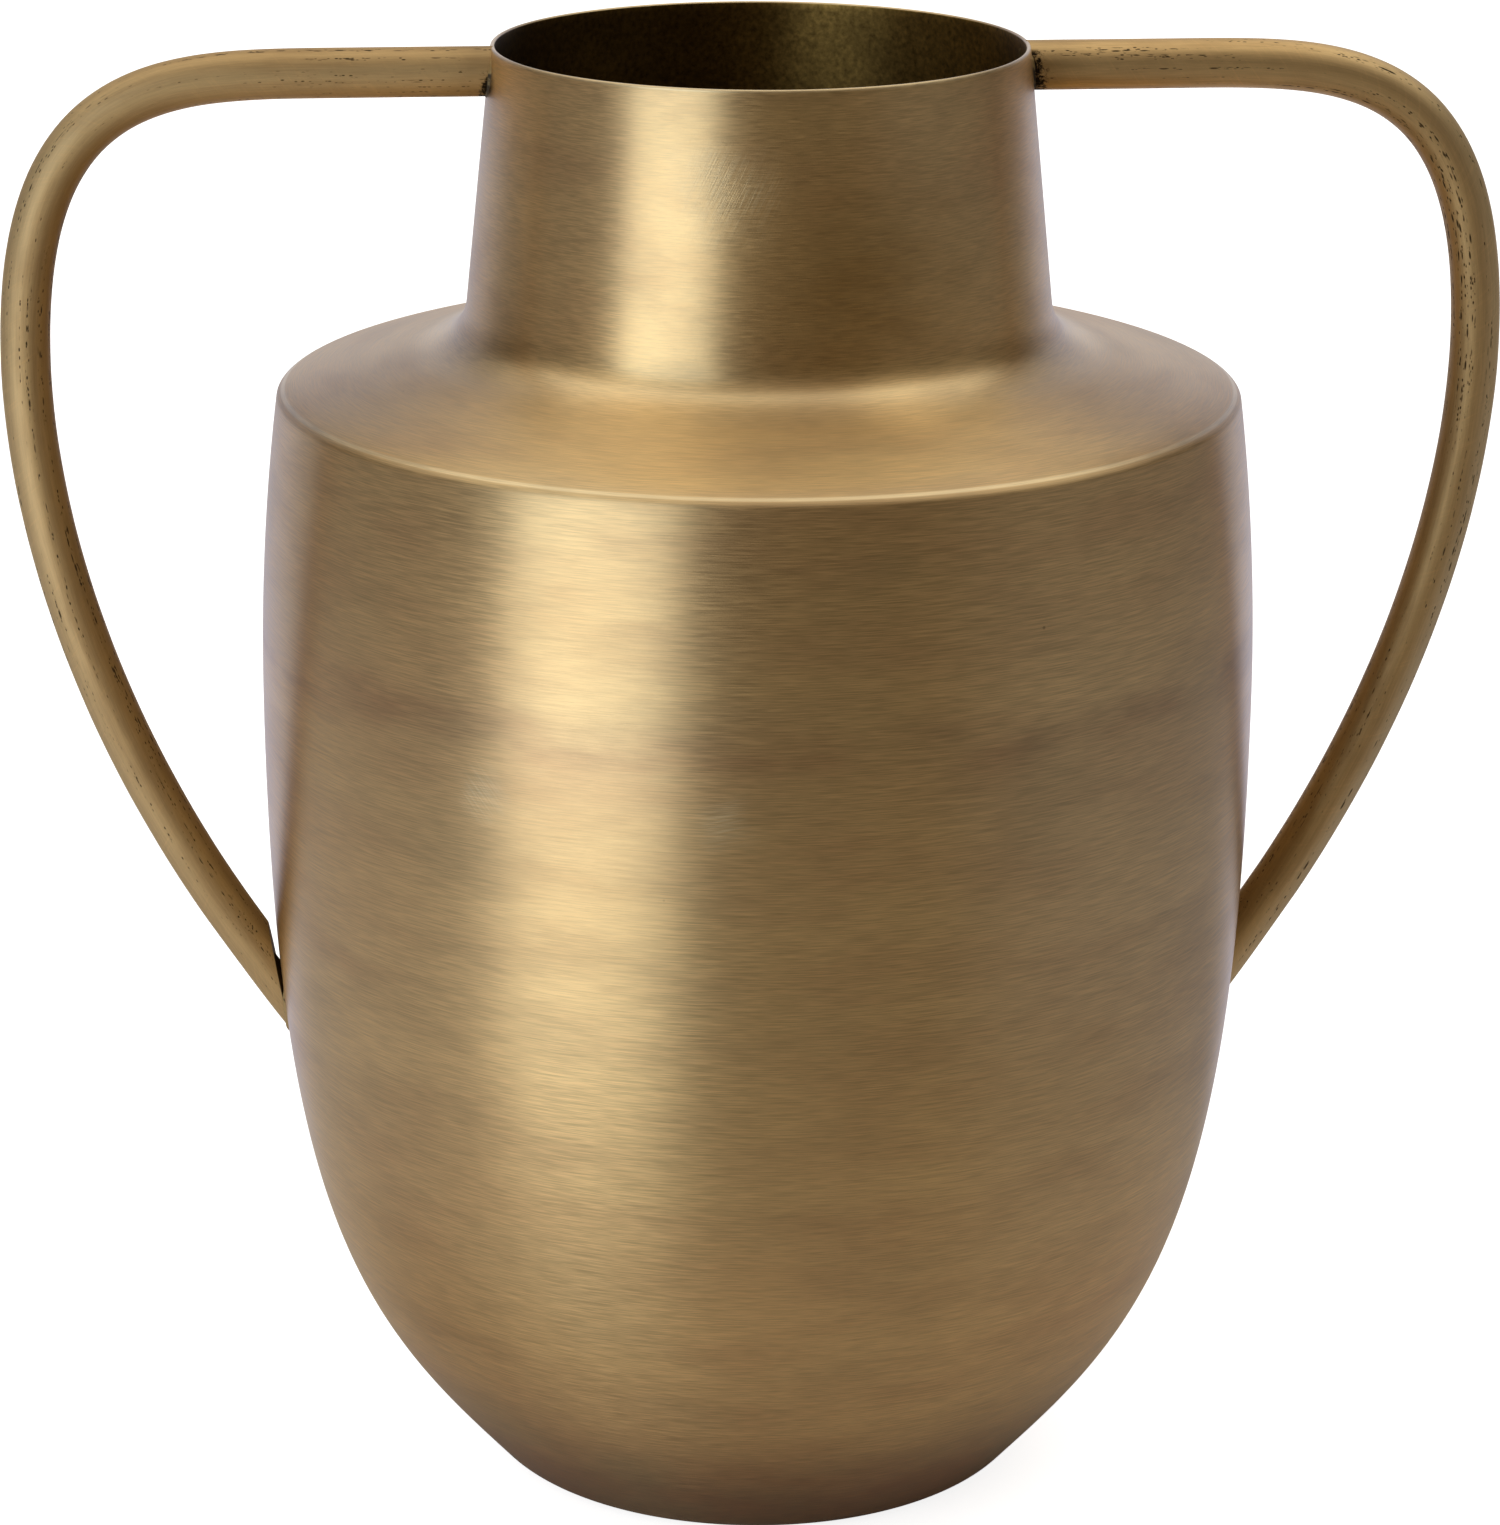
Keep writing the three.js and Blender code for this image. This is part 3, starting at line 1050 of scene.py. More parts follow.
class SkinTree:
    """The Geometry Nodes tree that lofts rings into a skin.

    Its input mesh has one loose point for each ring, with the ring's half-axes as attributes.
    """

    weld: float = 0.001 * MM

    def __init__(self) -> None:
        """Builds the tree with its named inputs."""
        self.tree = bpy.data.node_groups.new("ring_skin", "GeometryNodeTree")
        self.tree.is_modifier = True
        self.sockets: dict[str, str] = {}
        self._socket("Rings", "NodeSocketGeometry")
        self._socket("Sides", "NodeSocketInt")
        for name in ("Weld", "Waver height", "Waver size", "Seed"):
            self._socket(name, "NodeSocketFloat")
        for name in ("Outside", "Inside"):
            self._socket(name, "NodeSocketMaterial")
        self.tree.interface.new_socket(name="Skin", in_out="OUTPUT", socket_type="NodeSocketGeometry")
        self._fill(Graph(self.tree))

    def _socket(self, name: str, kind: str) -> None:
        """Adds a named input and keeps its identifier."""
        made = self.tree.interface.new_socket(name=name, in_out="INPUT", socket_type=kind)
        self.sockets[name] = made.identifier

    def _fill(self, graph: Graph) -> None:
        """Adds the nodes that lay a flat grid on the rings, weld it and dress it.

        Args:
            graph: the tree's graph.
        """
        given = graph.node("NodeGroupInput").outputs
        rings = given["Rings"]
        count = graph.out("GeometryNodeAttributeDomainSize", {"component": "MESH"}, {0: rings})
        columns = Signal(graph, given["Sides"]) + 1
        cells = {"Size X": 1.0, "Size Y": 1.0, "Vertices X": columns, "Vertices Y": count}
        grid = graph.out("GeometryNodeMeshGrid", None, cells, "Mesh")
        place = graph.out("GeometryNodeInputPosition")
        x, y, _ = graph.parts(place)
        turn = x + 0.5
        row = graph.out("FunctionNodeFloatToInt", {"rounding_mode": "ROUND"}, {0: (y + 0.5) * (count - 1)})

        def named(name: str, kind: str) -> Signal:
            """Reads an attribute by its name."""
            return graph.out("GeometryNodeInputNamedAttribute", {"data_type": kind}, {0: name})

        def sampled(value: Signal, kind: str) -> Signal:
            """Gives a value of the ring that a grid point belongs to."""
            settings = {"data_type": kind, "domain": "POINT"}
            return graph.out("GeometryNodeSampleIndex", settings, {0: rings, 1: value, 2: row})

        def stored(mesh: Signal, name: str, value: Signal, kind: str, domain: str) -> Signal:
            """Stores a value on the mesh by its name."""
            inputs = {"Geometry": mesh, "Name": name, "Value": value}
            return graph.out("GeometryNodeStoreNamedAttribute", {"data_type": kind, "domain": domain}, inputs)

        def treated(kind: str, mesh: Signal, **inputs: Any) -> Signal:
            """Passes the mesh through one node."""
            return graph.out(kind, None, {"Geometry": mesh, **inputs})

        centre = sampled(place, "FLOAT_VECTOR")
        across, beside = (
            sampled(named(name, "FLOAT_VECTOR"), "FLOAT_VECTOR") for name in ("across", "beside")
        )
        along, inside, sharp = (
            sampled(named(name, "FLOAT"), "FLOAT") for name in ("along", "inside", "sharp")
        )
        mesh = stored(grid, SURFACE_MAP, graph.vector(turn, along, 0.0), "FLOAT2", "CORNER")
        mesh = stored(mesh, "inside", inside, "FLOAT", "FACE")
        mesh = stored(mesh, "sharp", sharp, "FLOAT", "POINT")
        spot = self._laid(graph, given, turn, (centre, across, beside))
        mesh = treated("GeometryNodeSetPosition", mesh, Position=spot)
        mesh = treated("GeometryNodeMergeByDistance", mesh, Distance=given["Weld"])
        mesh = treated("GeometryNodeSetShadeSmooth", mesh)
        mesh = stored(mesh, "sharp_edge", named("sharp", "FLOAT") > 0.9, "BOOLEAN", "EDGE")
        mesh = treated("GeometryNodeRealizeInstances", mesh)
        mesh = treated("GeometryNodeSetMaterial", mesh, Material=given["Outside"])
        on_inside = named("inside", "FLOAT") > 0.5
        mesh = treated("GeometryNodeSetMaterial", mesh, Selection=on_inside, Material=given["Inside"])
        graph.node("NodeGroupOutput", None, {0: mesh})

    def _laid(
        self,
        graph: Graph,
        given: bpy.types.NodeOutputs,
        turn: Signal,
        ring: tuple[Signal, Signal, Signal],
    ) -> Signal:
        """Gives a grid point's place on its ring, with the waver of hand work.

        Args:
            graph: the tree's graph.
            given: the tree's inputs.
            turn: the share of a turn.
            ring: the ring's centre and its two half-axes.

        Returns:
            The place as a signal.
        """
        centre, across, beside = ring
        angle = turn * math.tau
        out = graph.vector_maths("SCALE", across, scale=graph.maths("COSINE", angle))
        over = graph.vector_maths("SCALE", beside, scale=graph.maths("SINE", angle))
        away = graph.vector_maths("ADD", out, over)
        spot = graph.vector_maths("ADD", centre, away)
        cells = graph.vector_maths("SCALE", spot, scale=given["Waver size"])
        rise = (graph.noise(cells, 1.0, 0.5, given["Seed"]) - 0.5) * Signal(graph, given["Waver height"])
        lift = graph.vector_maths("SCALE", graph.vector_maths("NORMALIZE", away), scale=rise)
        return graph.vector_maths("ADD", spot, lift)

    def skin(
        self,
        name: str,
        rings: Rings,
        sides: int,
        waver: Waver,
        outside: bpy.types.Material,
        inside: bpy.types.Material | None = None,
    ) -> bpy.types.Object:
        """Lofts rings into a finished piece.

        Args:
            name: the piece's name.
            rings: its rings in order.
            sides: the number of faces round each ring.
            waver: its unevenness.
            outside: the finish of its outside.
            inside: the finish of its inside, where that differs.

        Returns:
            The piece, a plain mesh at the origin.
        """
        string = bpy.data.meshes.new(f"{name}_rings")
        string.vertices.add(len(rings.centre))
        string.vertices.foreach_set("co", rings.centre.ravel())
        for key in ("across", "beside"):
            made = string.attributes.new(key, "FLOAT_VECTOR", "POINT")
            made.data.foreach_set("vector", getattr(rings, key).ravel())
        for key in ("along", "inside", "sharp"):
            made = string.attributes.new(key, "FLOAT", "POINT")
            made.data.foreach_set("value", getattr(rings, key))
        guide = bpy.data.objects.new(f"{name}_guide", string)
        bpy.context.scene.collection.objects.link(guide)
        modifier = guide.modifiers.new("skin", "NODES")
        modifier.node_group = self.tree
        values = {
            "Sides": sides,
            "Weld": self.weld,
            "Waver height": waver.height,
            "Waver size": 1 / waver.size,
            "Seed": waver.seed,
            "Outside": outside,
            "Inside": inside or outside,
        }
        for key, value in values.items():
            modifier[self.sockets[key]] = value
        guide.update_tag()
        evaluated = guide.evaluated_get(bpy.context.evaluated_depsgraph_get())
        mesh = bpy.data.meshes.new_from_object(evaluated)
        guide.modifiers.remove(modifier)
        bpy.data.objects.remove(guide)
        bpy.data.meshes.remove(string)
        mesh.name = name
        piece = bpy.data.objects.new(name, mesh)
        bpy.context.scene.collection.objects.link(piece)
        return piece


def settle(piece: bpy.types.Object, node: str) -> None:
    """Puts a finished piece in its solid's place.

    Args:
        piece: the piece.
        node: the solid that it stands for.
    """
    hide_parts(node)
    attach(piece, BODY)
    LOG.info("%s: %d faces, stands for %s", piece.name, len(piece.data.polygons), node)


@dataclass
class Vessel:
    """The spun vessel: a bowl, and the shoulder with its neck, lapped and brazed at a seam."""

    skins: SkinTree
    height: float = CAD_BOX[1][2]
    belly_radius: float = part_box("body_shell")[1][0]
    belly_height: float = 168.8 * MM
    shoulder_rise: float = 62 * MM
    shoulder_fall: float = 10.4 * MM
    belly_swell: float = 4.2 * MM
    shoulder_width: float = 37.8 * MM
    neck_flare: float = 6 * MM
    foot_radius: float = 54.2 * MM
    fillet_reach: tuple[float, float] = (10 * MM, 7 * MM)
    fillet_pull: float = 0.72
    shoulder_round: float = 5 * MM
    crease_drop: float = 1.8 * MM
    crease_reach: float = 10 * MM
    crease_pull: float = 0.8
    foot_round: float = 10.5 * MM
    foot_slope: float = math.radians(48.3)
    belly_pull: float = 117.5 * MM
    foot_pull: float = 40 * MM
    sheet: float = 0.9 * MM
    standing_ring: float = 12 * MM
    base_step: float = 5 * MM
    base_rise: float = 2 * MM
    skirt_length: float = 8 * MM
    set_in_height: float = 4 * MM
    lap_length: float = 6 * MM
    braze_gap: float = 0.3 * MM
    spacing: float = 2 * MM
    inner_spacing: float = 5 * MM
    foot_steps: int = 14
    side_steps: int = 96
    corner_steps: int = 32
    fillet_steps: int = 24
    sides: int = 240
    waver: Waver = Waver(0.04 * MM, 28 * MM, 3.0)
    brushed: SpunBrass = SpunBrass()
    unpolished: InsideBrass = InsideBrass()

    def __post_init__(self) -> None:
        """Works out the outline's corners and centres."""
        self.shoulder_height = self.belly_height + self.shoulder_rise
        self.shoulder_radius = self.belly_radius - self.belly_swell
        self.neck_foot = np.array(
            [self.shoulder_radius - self.shoulder_width, self.shoulder_height + self.shoulder_fall]
        )
        self.rim = np.array([self.neck_foot[0] - self.neck_flare, self.height])
        self.crown_radius = (self.shoulder_rise**2 + self.belly_swell**2) / (2 * self.belly_swell)
        self.crown_centre = np.array([self.belly_radius - self.crown_radius, self.belly_height])
        self.edge = np.array([self.shoulder_radius, self.shoulder_height])
        self.slope = unit(self.edge - self.neck_foot)
        # The round's centre lies beside the slope and inside the crown, a round's radius from both.
        into_slope = np.array([self.slope[1], -self.slope[0]])
        start = self.neck_foot + into_slope * self.shoulder_round - self.crown_centre
        ahead = start @ self.slope
        room = self.crown_radius - self.shoulder_round
        reach = math.sqrt(ahead**2 - start @ start + room**2)
        toward = unit(start + self.slope * (reach - ahead))
        self.round_end = self.belly_height + self.crown_radius * toward[1]
        self.skirt_edge = self.round_end - self.skirt_length
        self.set_in_start = self.skirt_edge - self.set_in_height
        self.outside = self.whole_outline()
        first = int(np.argmax(self.outside[:, 1] > self.foot_round))
        self.wall = self.outside[first:]
        self.wall_along = lengths(self.outside)[first:]

    def crown(self, low: float, high: float, depth: float = 0.0, steps: int = 8) -> Points:
        """Gives the belly's arc between two heights.

        Args:
            low: the height of its first point.
            high: the height of its last point.
            depth: how far it lies inside the outside.
            steps: the number of stretches.

        Returns:
            Rows of radius and height.
        """
        angles = [math.asin((height - self.belly_height) / self.crown_radius) for height in (low, high)]
        return arc(self.crown_centre, self.crown_radius - depth, *angles, steps)

    def lower_outline(self) -> Points:
        """Gives the base, the rounded foot and the tapering side up to the belly.

        Returns:
            Rows of radius and height.
        """
        tangent = self.foot_round * math.tan(self.foot_slope / 2)
        ring_outer = self.foot_radius - tangent
        ring_inner = ring_outer - self.standing_ring
        upward = np.array([math.cos(self.foot_slope), math.sin(self.foot_slope)])
        foot_top = np.array([self.foot_radius, 0]) + upward * tangent
        belly = np.array([self.belly_radius, self.belly_height])
        panel = np.array([[0, self.base_rise], [ring_inner - self.base_step, self.base_rise]])
        ring = np.array([[ring_inner, 0]])
        middle, down = [ring_outer, self.foot_round], -math.pi / 2
        foot = arc(middle, self.foot_round, down, down + self.foot_slope, self.foot_steps)
        pulls = [foot_top, foot_top + upward * self.foot_pull, belly - [0, self.belly_pull], belly]
        return np.concatenate([panel, ring, foot, bezier(pulls, self.side_steps)])

    def upper_outline(self) -> Points:
        """Gives the rounded shoulder, its slope, the fillet and the neck up to the rim.

        Returns:
            Rows of radius and height.
        """
        crease = self.crown(self.round_end, self.shoulder_height - self.crease_drop, steps=2)
        first, last = crease[-1], self.edge - self.slope * self.crease_reach
        pulls = [point + (self.edge - point) * self.crease_pull for point in (first, last)]
        corner = bezier([first, *pulls, last], self.corner_steps)
        up_neck = unit(self.rim - self.neck_foot)
        low, high = self.fillet_reach
        ends = [self.neck_foot + self.slope * low, self.neck_foot + up_neck * high]
        pulls = [point + (self.neck_foot - point) * self.fillet_pull for point in ends]
        fillet = bezier([ends[0], *pulls, ends[1]], self.fillet_steps)
        return np.concatenate([crease, corner, fillet, [self.rim]])

    def whole_outline(self) -> Points:
        """Gives the vessel's outside from the middle of the base to the rim."""
        crown = self.crown(self.belly_height, self.round_end, steps=24)
        return chained([self.lower_outline(), crown, self.upper_outline()], self.spacing)

    def radius_at(self, height: float) -> float:
        """Gives the outside's radius at a height above the foot."""
        return float(np.interp(height, self.wall[:, 1], self.wall[:, 0]))

    def along_at(self, height: float) -> float:
        """Gives the length along the outside at a height above the foot."""
        return float(np.interp(height, self.wall[:, 1], self.wall_along))

    def build(self) -> None:
        """Makes the three pieces and puts them in place."""
        brushed = self.brushed.material()
        unpolished = self.unpolished.material()
        settle(self.bowl(brushed, unpolished), "body_shell")
        settle(self.neck(brushed, unpolished), "neck_shell")
        settle(self.seam(brushed), "shoulder_seam_braze")

    def sheet_rings(self, parts: Sequence[Points], start: float, sharp: Sequence[int]) -> Rings:
        """Makes the closed rings of one spun sheet.

        Args:
            parts: its outside, upwards, the edge at its top, and its inside, downwards.
            start: the length along the vessel's outside at its first point.
            sharp: the rows at a sharp edge.

        Returns:
            The rings.
        """
        outline = np.concatenate(parts)
        inside = np.zeros(len(outline))
        inside[len(parts[0]) + len(parts[1]) :] = 1
        return Rings.turned(outline, start + lengths(outline), inside, sharp)

    def lip(self, outer: Points, inner: Points, steps: int = 6) -> Points:
        """Gives the half-round edge from a sheet's outside to its inside.

        Args:
            outer: the last point of the outside.
            inner: the first point of the inside.
            steps: the number of stretches.

        Returns:
            The points between the two.
        """
        middle, half = (outer + inner) / 2, (outer - inner) / 2
        radius = float(np.linalg.norm(half))
        begin = math.atan2(half[1], half[0])
        return arc(middle, radius, begin, begin + math.pi, steps)[1:-1]

    def bowl(self, brushed: bpy.types.Material, unpolished: bpy.types.Material) -> bpy.types.Object:
        """Makes the bowl with the edge that is set in under the shoulder.

        Args:
            brushed: the finish of the outside.
            unpolished: the finish of the inside.

        Returns:
            The piece.
        """
        set_in = self.sheet + self.braze_gap
        lap = self.crown(self.skirt_edge, self.skirt_edge + self.lap_length, set_in, 3)
        crown = self.crown(self.belly_height, self.set_in_start, steps=20)
        outer = chained([self.lower_outline(), crown], self.spacing)
        seam_row = len(outer) - 1
        outer = np.concatenate([outer, lap])
        inner = shifted(outer, self.sheet)[::-1]
        inner[-1, 0] = 0.0
        thinned = [inner[0]]
        for point in inner[1:-1]:
            if np.linalg.norm(point - thinned[-1]) > self.inner_spacing:
                thinned.append(point)
        parts = [outer, np.empty((0, 2)), np.array([*thinned, inner[-1]])]
        rings = self.sheet_rings(parts, 0.0, [seam_row, len(outer) - 1, len(outer)])
        return self.skins.skin("bowl", rings, self.sides, self.waver, brushed, unpolished)

    def neck(self, brushed: bpy.types.Material, unpolished: bpy.types.Material) -> bpy.types.Object:
        """Makes the shoulder and neck with the raw, slightly rounded rim.

        Args:
            brushed: the finish of the outside.
            unpolished: the finish of the inside.

        Returns:
            The piece.
        """
        crown = self.crown(self.skirt_edge, self.round_end, steps=8)
        outer = chained([crown, self.upper_outline()], self.spacing)
        inner = shifted(outer, self.sheet)[::-1]
        drop = unit(outer[-2] - outer[-1]) * self.sheet / 2
        outer[-1] += drop
        inner[0] += drop
        parts = [outer, self.lip(outer[-1], inner[0]), np.concatenate([inner, outer[:1]])]
        last = sum(len(part) for part in parts) - 1
        rings = self.sheet_rings(parts, self.along_at(self.skirt_edge), [0, last - 1, last])
        return self.skins.skin("shoulder_and_neck", rings, self.sides, self.waver, brushed, unpolished)

    def seam(self, brushed: bpy.types.Material) -> bpy.types.Object:
        """Makes the filler ring of the seam, ground flush and brushed over with the shells.

        Args:
            brushed: the finish of the outside.

        Returns:
            The piece.
        """
        face = self.crown(self.set_in_start, self.skirt_edge, steps=4)
        root = self.crown(self.skirt_edge, self.skirt_edge, self.sheet, 1)[:1]
        outline = np.concatenate([face, root, face[:1]])
        along = self.along_at(self.set_in_start) + lengths(outline)
        sharp = [0, *range(len(face) - 1, len(outline))]
        rings = Rings.turned(outline, along, np.zeros(len(outline)), sharp)
        return self.skins.skin("seam_filler", rings, self.sides, self.waver, brushed)


@dataclass(frozen=True)
class Bead:
    """The filler round one end of a tube.

    Attributes:
        end: the tube's end.
        long: half its width across the corner.
        short: half its thickness.
        bare_middle: the angle from the tube's outer line to the middle of the stretch that it leaves bare.
        bare_half: half the angle of that stretch.
        runout: the angle in which it grows from there to its full size.
        thread: the share of its size that is left on the bare stretch.
    """

    end: TubeEnd
    long: float
    short: float
    bare_middle: float
    bare_half: float
    runout: float = math.radians(30)
    thread: float = 0.05

    def fullness(self, angle: np.ndarray) -> np.ndarray:
        """Gives the share of its full size at angles round the tube.

        Args:
            angle: angles from the tube's outer line.

        Returns:
            Shares from a thread to 1.
        """
        apart = np.abs((angle - self.bare_middle + math.pi) % math.tau - math.pi)
        share = np.clip((apart - self.bare_half) / self.runout, 0, 1)
        return self.thread + (1 - self.thread) * share * share * (3 - 2 * share)


@dataclass
class Handle:
    """One bent tube handle with the brazed fillets at its two ends."""

    side: Side
    vessel: Vessel
    skins: SkinTree
    drawn: bpy.types.Material
    # The dark finish of the cap in the lower slot, which is painted shade.
    unpolished: bpy.types.Material
    filler: bpy.types.Material
    tube_radius: float = (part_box("handle_right")[1][1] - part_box("handle_right")[0][1]) / 2
    reach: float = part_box("handle_right")[1][0]
    bar_length: float = 33.3 * MM
    bend_depth: float = 57.8 * MM
    bend_pull_out: float = 31.8 * MM
    bend_pull_down: float = 57.4 * MM
    sweep_pull: float = 22.8 * MM
    landing_pull: float = 58.5 * MM
    landing_height: float = 103.2 * MM
    landing_slope: float = math.radians(57.8)
    landing_straight: float = 21 * MM
    sunk: float = 0.4 * MM
    slot: float = 4 * MM
    # The dark cap in the lower slot is painted shade; these give its shift and its size.
    shade_plug_shift: float = 0.27
    shade_plug_size: float = 0.7
    tip_trim: float = 0.045
    wall_step: float = 2 * MM
    upper_seat: float = 10 * MM
    lower_seat: float = 20 * MM
    spacing: float = 1 * MM
    bend_steps: int = 60
    sweep_steps: int = 120
    sides: int = 48
    fillet_rows: int = 96
    fillet_sides: int = 16
    waver: Waver = Waver(0.09 * MM, 13 * MM, 7.0)
    fillet_waver: Waver = Waver(0.5 * MM, 2.6 * MM, 9.0)
    beads: tuple[Bead, Bead] = (
        Bead(TubeEnd.UPPER, 1.4 * MM, 0.5 * MM, 0.0, math.radians(42)),
        Bead(TubeEnd.LOWER, 1.0 * MM, 0.45 * MM, math.pi, math.radians(75)),
    )

    def __post_init__(self) -> None:
        """Works out the path with its directions, and how its ends meet the walls."""
        bar_height = self.vessel.height - self.tube_radius
        self.upper_end = np.array([self.vessel.radius_at(bar_height), bar_height])
        self.upper_lean = -self.vessel.neck_flare / (self.vessel.height - self.vessel.neck_foot[1])
        self.neck_out = unit(np.array([1.0, -self.upper_lean]))
        self.lower_end = np.array([self.vessel.radius_at(self.landing_height), self.landing_height])
        self.lower_out = np.array([math.cos(self.landing_slope), math.sin(self.landing_slope)])
        heights = (self.landing_height + self.wall_step, self.landing_height - self.wall_step)
        above, below = (np.array([self.vessel.radius_at(height), height]) for height in heights)
        wall_up = unit(above - below)
        self.wall_out = np.array([wall_up[1], -wall_up[0]])
        self.middle = self.path()
        self.along = lengths(self.middle)
        self.ahead = unit(np.gradient(self.middle, self.along, axis=0))
        self.outer = np.stack([-self.ahead[:, 1], self.ahead[:, 0]], 1)
        self.scarf = -(self.outer[-1] @ self.wall_out) / (self.ahead[-1] @ self.wall_out)

    def path(self) -> Points:
        """Gives the tube's middle line from the neck to the landing.

        Returns:
            Rows of X and Z.
        """
        out, up = np.array([1.0, 0.0]), np.array([0.0, 1.0])
        start = self.upper_end - out * self.sunk
        bar_end = self.upper_end + out * self.bar_length
        widest = np.array([self.reach - self.tube_radius, self.upper_end[1] - self.bend_depth])
        landing = self.lower_end + self.lower_out * self.landing_straight
        bend = [bar_end, bar_end + out * self.bend_pull_out, widest + up * self.bend_pull_down, widest]
        pulls = (widest - up * self.sweep_pull, landing + self.lower_out * self.landing_pull)
        sweep = [widest, *pulls, landing]
        finish = self.lower_end - self.wall_out * self.sunk
        curves = (bezier(bend, self.bend_steps), bezier(sweep, self.sweep_steps))
        return chained([[start], *curves, [finish]], self.spacing)

    def seat(self, end: TubeEnd) -> tuple[Points, Points]:
        """Gives the middle and the half-axis of the tube's cut on the wall.

        Args:
            end: the tube's end; the tip of the lower one is dressed back.

        Returns:
            Two rows of X and Z.
        """
        lean, trim = (self.upper_lean, 0.0) if end is TubeEnd.UPPER else (self.scarf, self.tip_trim)
        half = self.tube_radius * (self.outer[end.value] + lean * self.ahead[end.value])
        return self.middle[end.value] - half * trim, half * (1 - trim)

    def rings(self) -> Rings:
        """Makes the tube's rings, leant towards the walls that its ends are cut to.

        The lower cut stands off the wall on the tube's inner side; a dark cap down the slot is painted shade.

        Returns:
            The rings, for the right side.
        """
        upper = np.clip(1 - self.along / self.upper_seat, 0, 1)[:, None]
        lower = np.clip(1 - (self.along[-1] - self.along) / self.lower_seat, 0, 1)[:, None]
        lean = (upper * self.upper_lean + lower * self.scarf) * self.ahead
        cut_back = lower * self.ahead * self.slot / 2
        centre = self.middle - cut_back
        half = self.tube_radius * (self.outer + lean) + cut_back
        trim = self.tip_trim * lower**3
        centre = centre - half * trim
        half = half * (1 - trim)
        landing, on_wall = self.seat(TubeEnd.LOWER)
        # A dark cap in the slot: painted shade for the tube's shadowed hollow.
        shade_plug = [centre[-1] + half[-1] * self.shade_plug_shift, landing + on_wall * self.shade_plug_shift]
        shade_plug_half = [half[-1] * self.shade_plug_size, on_wall * self.shade_plug_size, on_wall * 0]
        centre = np.concatenate([centre[:1], centre, shade_plug, shade_plug[-1:]])
        half = np.concatenate([half[:1] * 0, half, shade_plug_half])
        wide = np.concatenate([[0.0], np.ones(len(self.along)), [self.shade_plug_size, self.shade_plug_size, 0.0]])
        none = np.zeros(len(centre))
        beside = np.stack([none, -self.tube_radius * wide, none], 1)
        along = np.concatenate([self.along[:1], self.along, self.along[-1:].repeat(3)])
        inside = np.concatenate([np.zeros(len(self.along) + 1), np.ones(3)])
        sharp = none.copy()
        sharp[[1, -4, -3]] = 1
        return Rings(self._upright(centre), self._upright(half), beside, along, inside, sharp)

    @staticmethod
    def _upright(flat: Points) -> Points:
        """Puts rows of X and Z in space."""
        return np.stack([flat[:, 0], np.zeros(len(flat)), flat[:, 1]], 1)

    def fillet_rings(self, bead: Bead) -> Rings:
        """Makes the rings of the filler that runs round one end of the tube.

        Args:
            bead: how it lies.

        Returns:
            The rings, for the right side.
        """
        wall = self.neck_out if bead.end is TubeEnd.UPPER else self.wall_out
        centre, half, wall_out = self._upright(np.array([*self.seat(bead.end), wall]))
        angle = np.linspace(0, math.tau, self.fillet_rows + 1)[:, None]
        side = np.array([0.0, -self.tube_radius, 0.0])
        loop = centre + half * np.cos(angle) + side * np.sin(angle)
        away = loop - centre
        away = unit(away - np.outer(away @ wall_out, wall_out))
        full = bead.fullness(angle)
        long_axis = (wall_out - away) / math.sqrt(2) * bead.long * full
        short_axis = (wall_out + away) / math.sqrt(2) * bead.short * full
        along = np.linalg.norm(half) * angle[:, 0]
        none = np.zeros(len(loop))
        return Rings(loop, short_axis, long_axis, along, none, none)

    def build(self) -> None:
        """Makes the tube and its two fillets and puts them in place."""
        name = self.side.name.lower()
        tube = self.rings().facing(self.side)
        piece = self.skins.skin(f"tube_{name}", tube, self.sides, self.waver, self.drawn, self.unpolished)
        settle(piece, f"handle_{name}")
        for bead in self.beads:
            end = bead.end.name.lower()
            rings = self.fillet_rings(bead).facing(self.side)
            fillet = self.skins.skin(
                f"fillet_{end}_{name}", rings, self.fillet_sides, self.fillet_waver, self.filler
            )
            settle(fillet, f"braze_{end}_{name}")


@dataclass(frozen=True)
class Lamp:
    """One upright soft lamp on the floor, facing the vase, with its bearing to the left of the camera."""

    name: str
    bearing: float
    width: float
    height: float
    power: float
    distance: float = 0.75
    colour: Colour = (0.765, 0.89, 1.03)


@dataclass(frozen=True)
class Room:
    """The room's colours before the vase, at its two sides and behind it."""

    front: Colour
    left: Colour
    right: Colour
    back: Colour


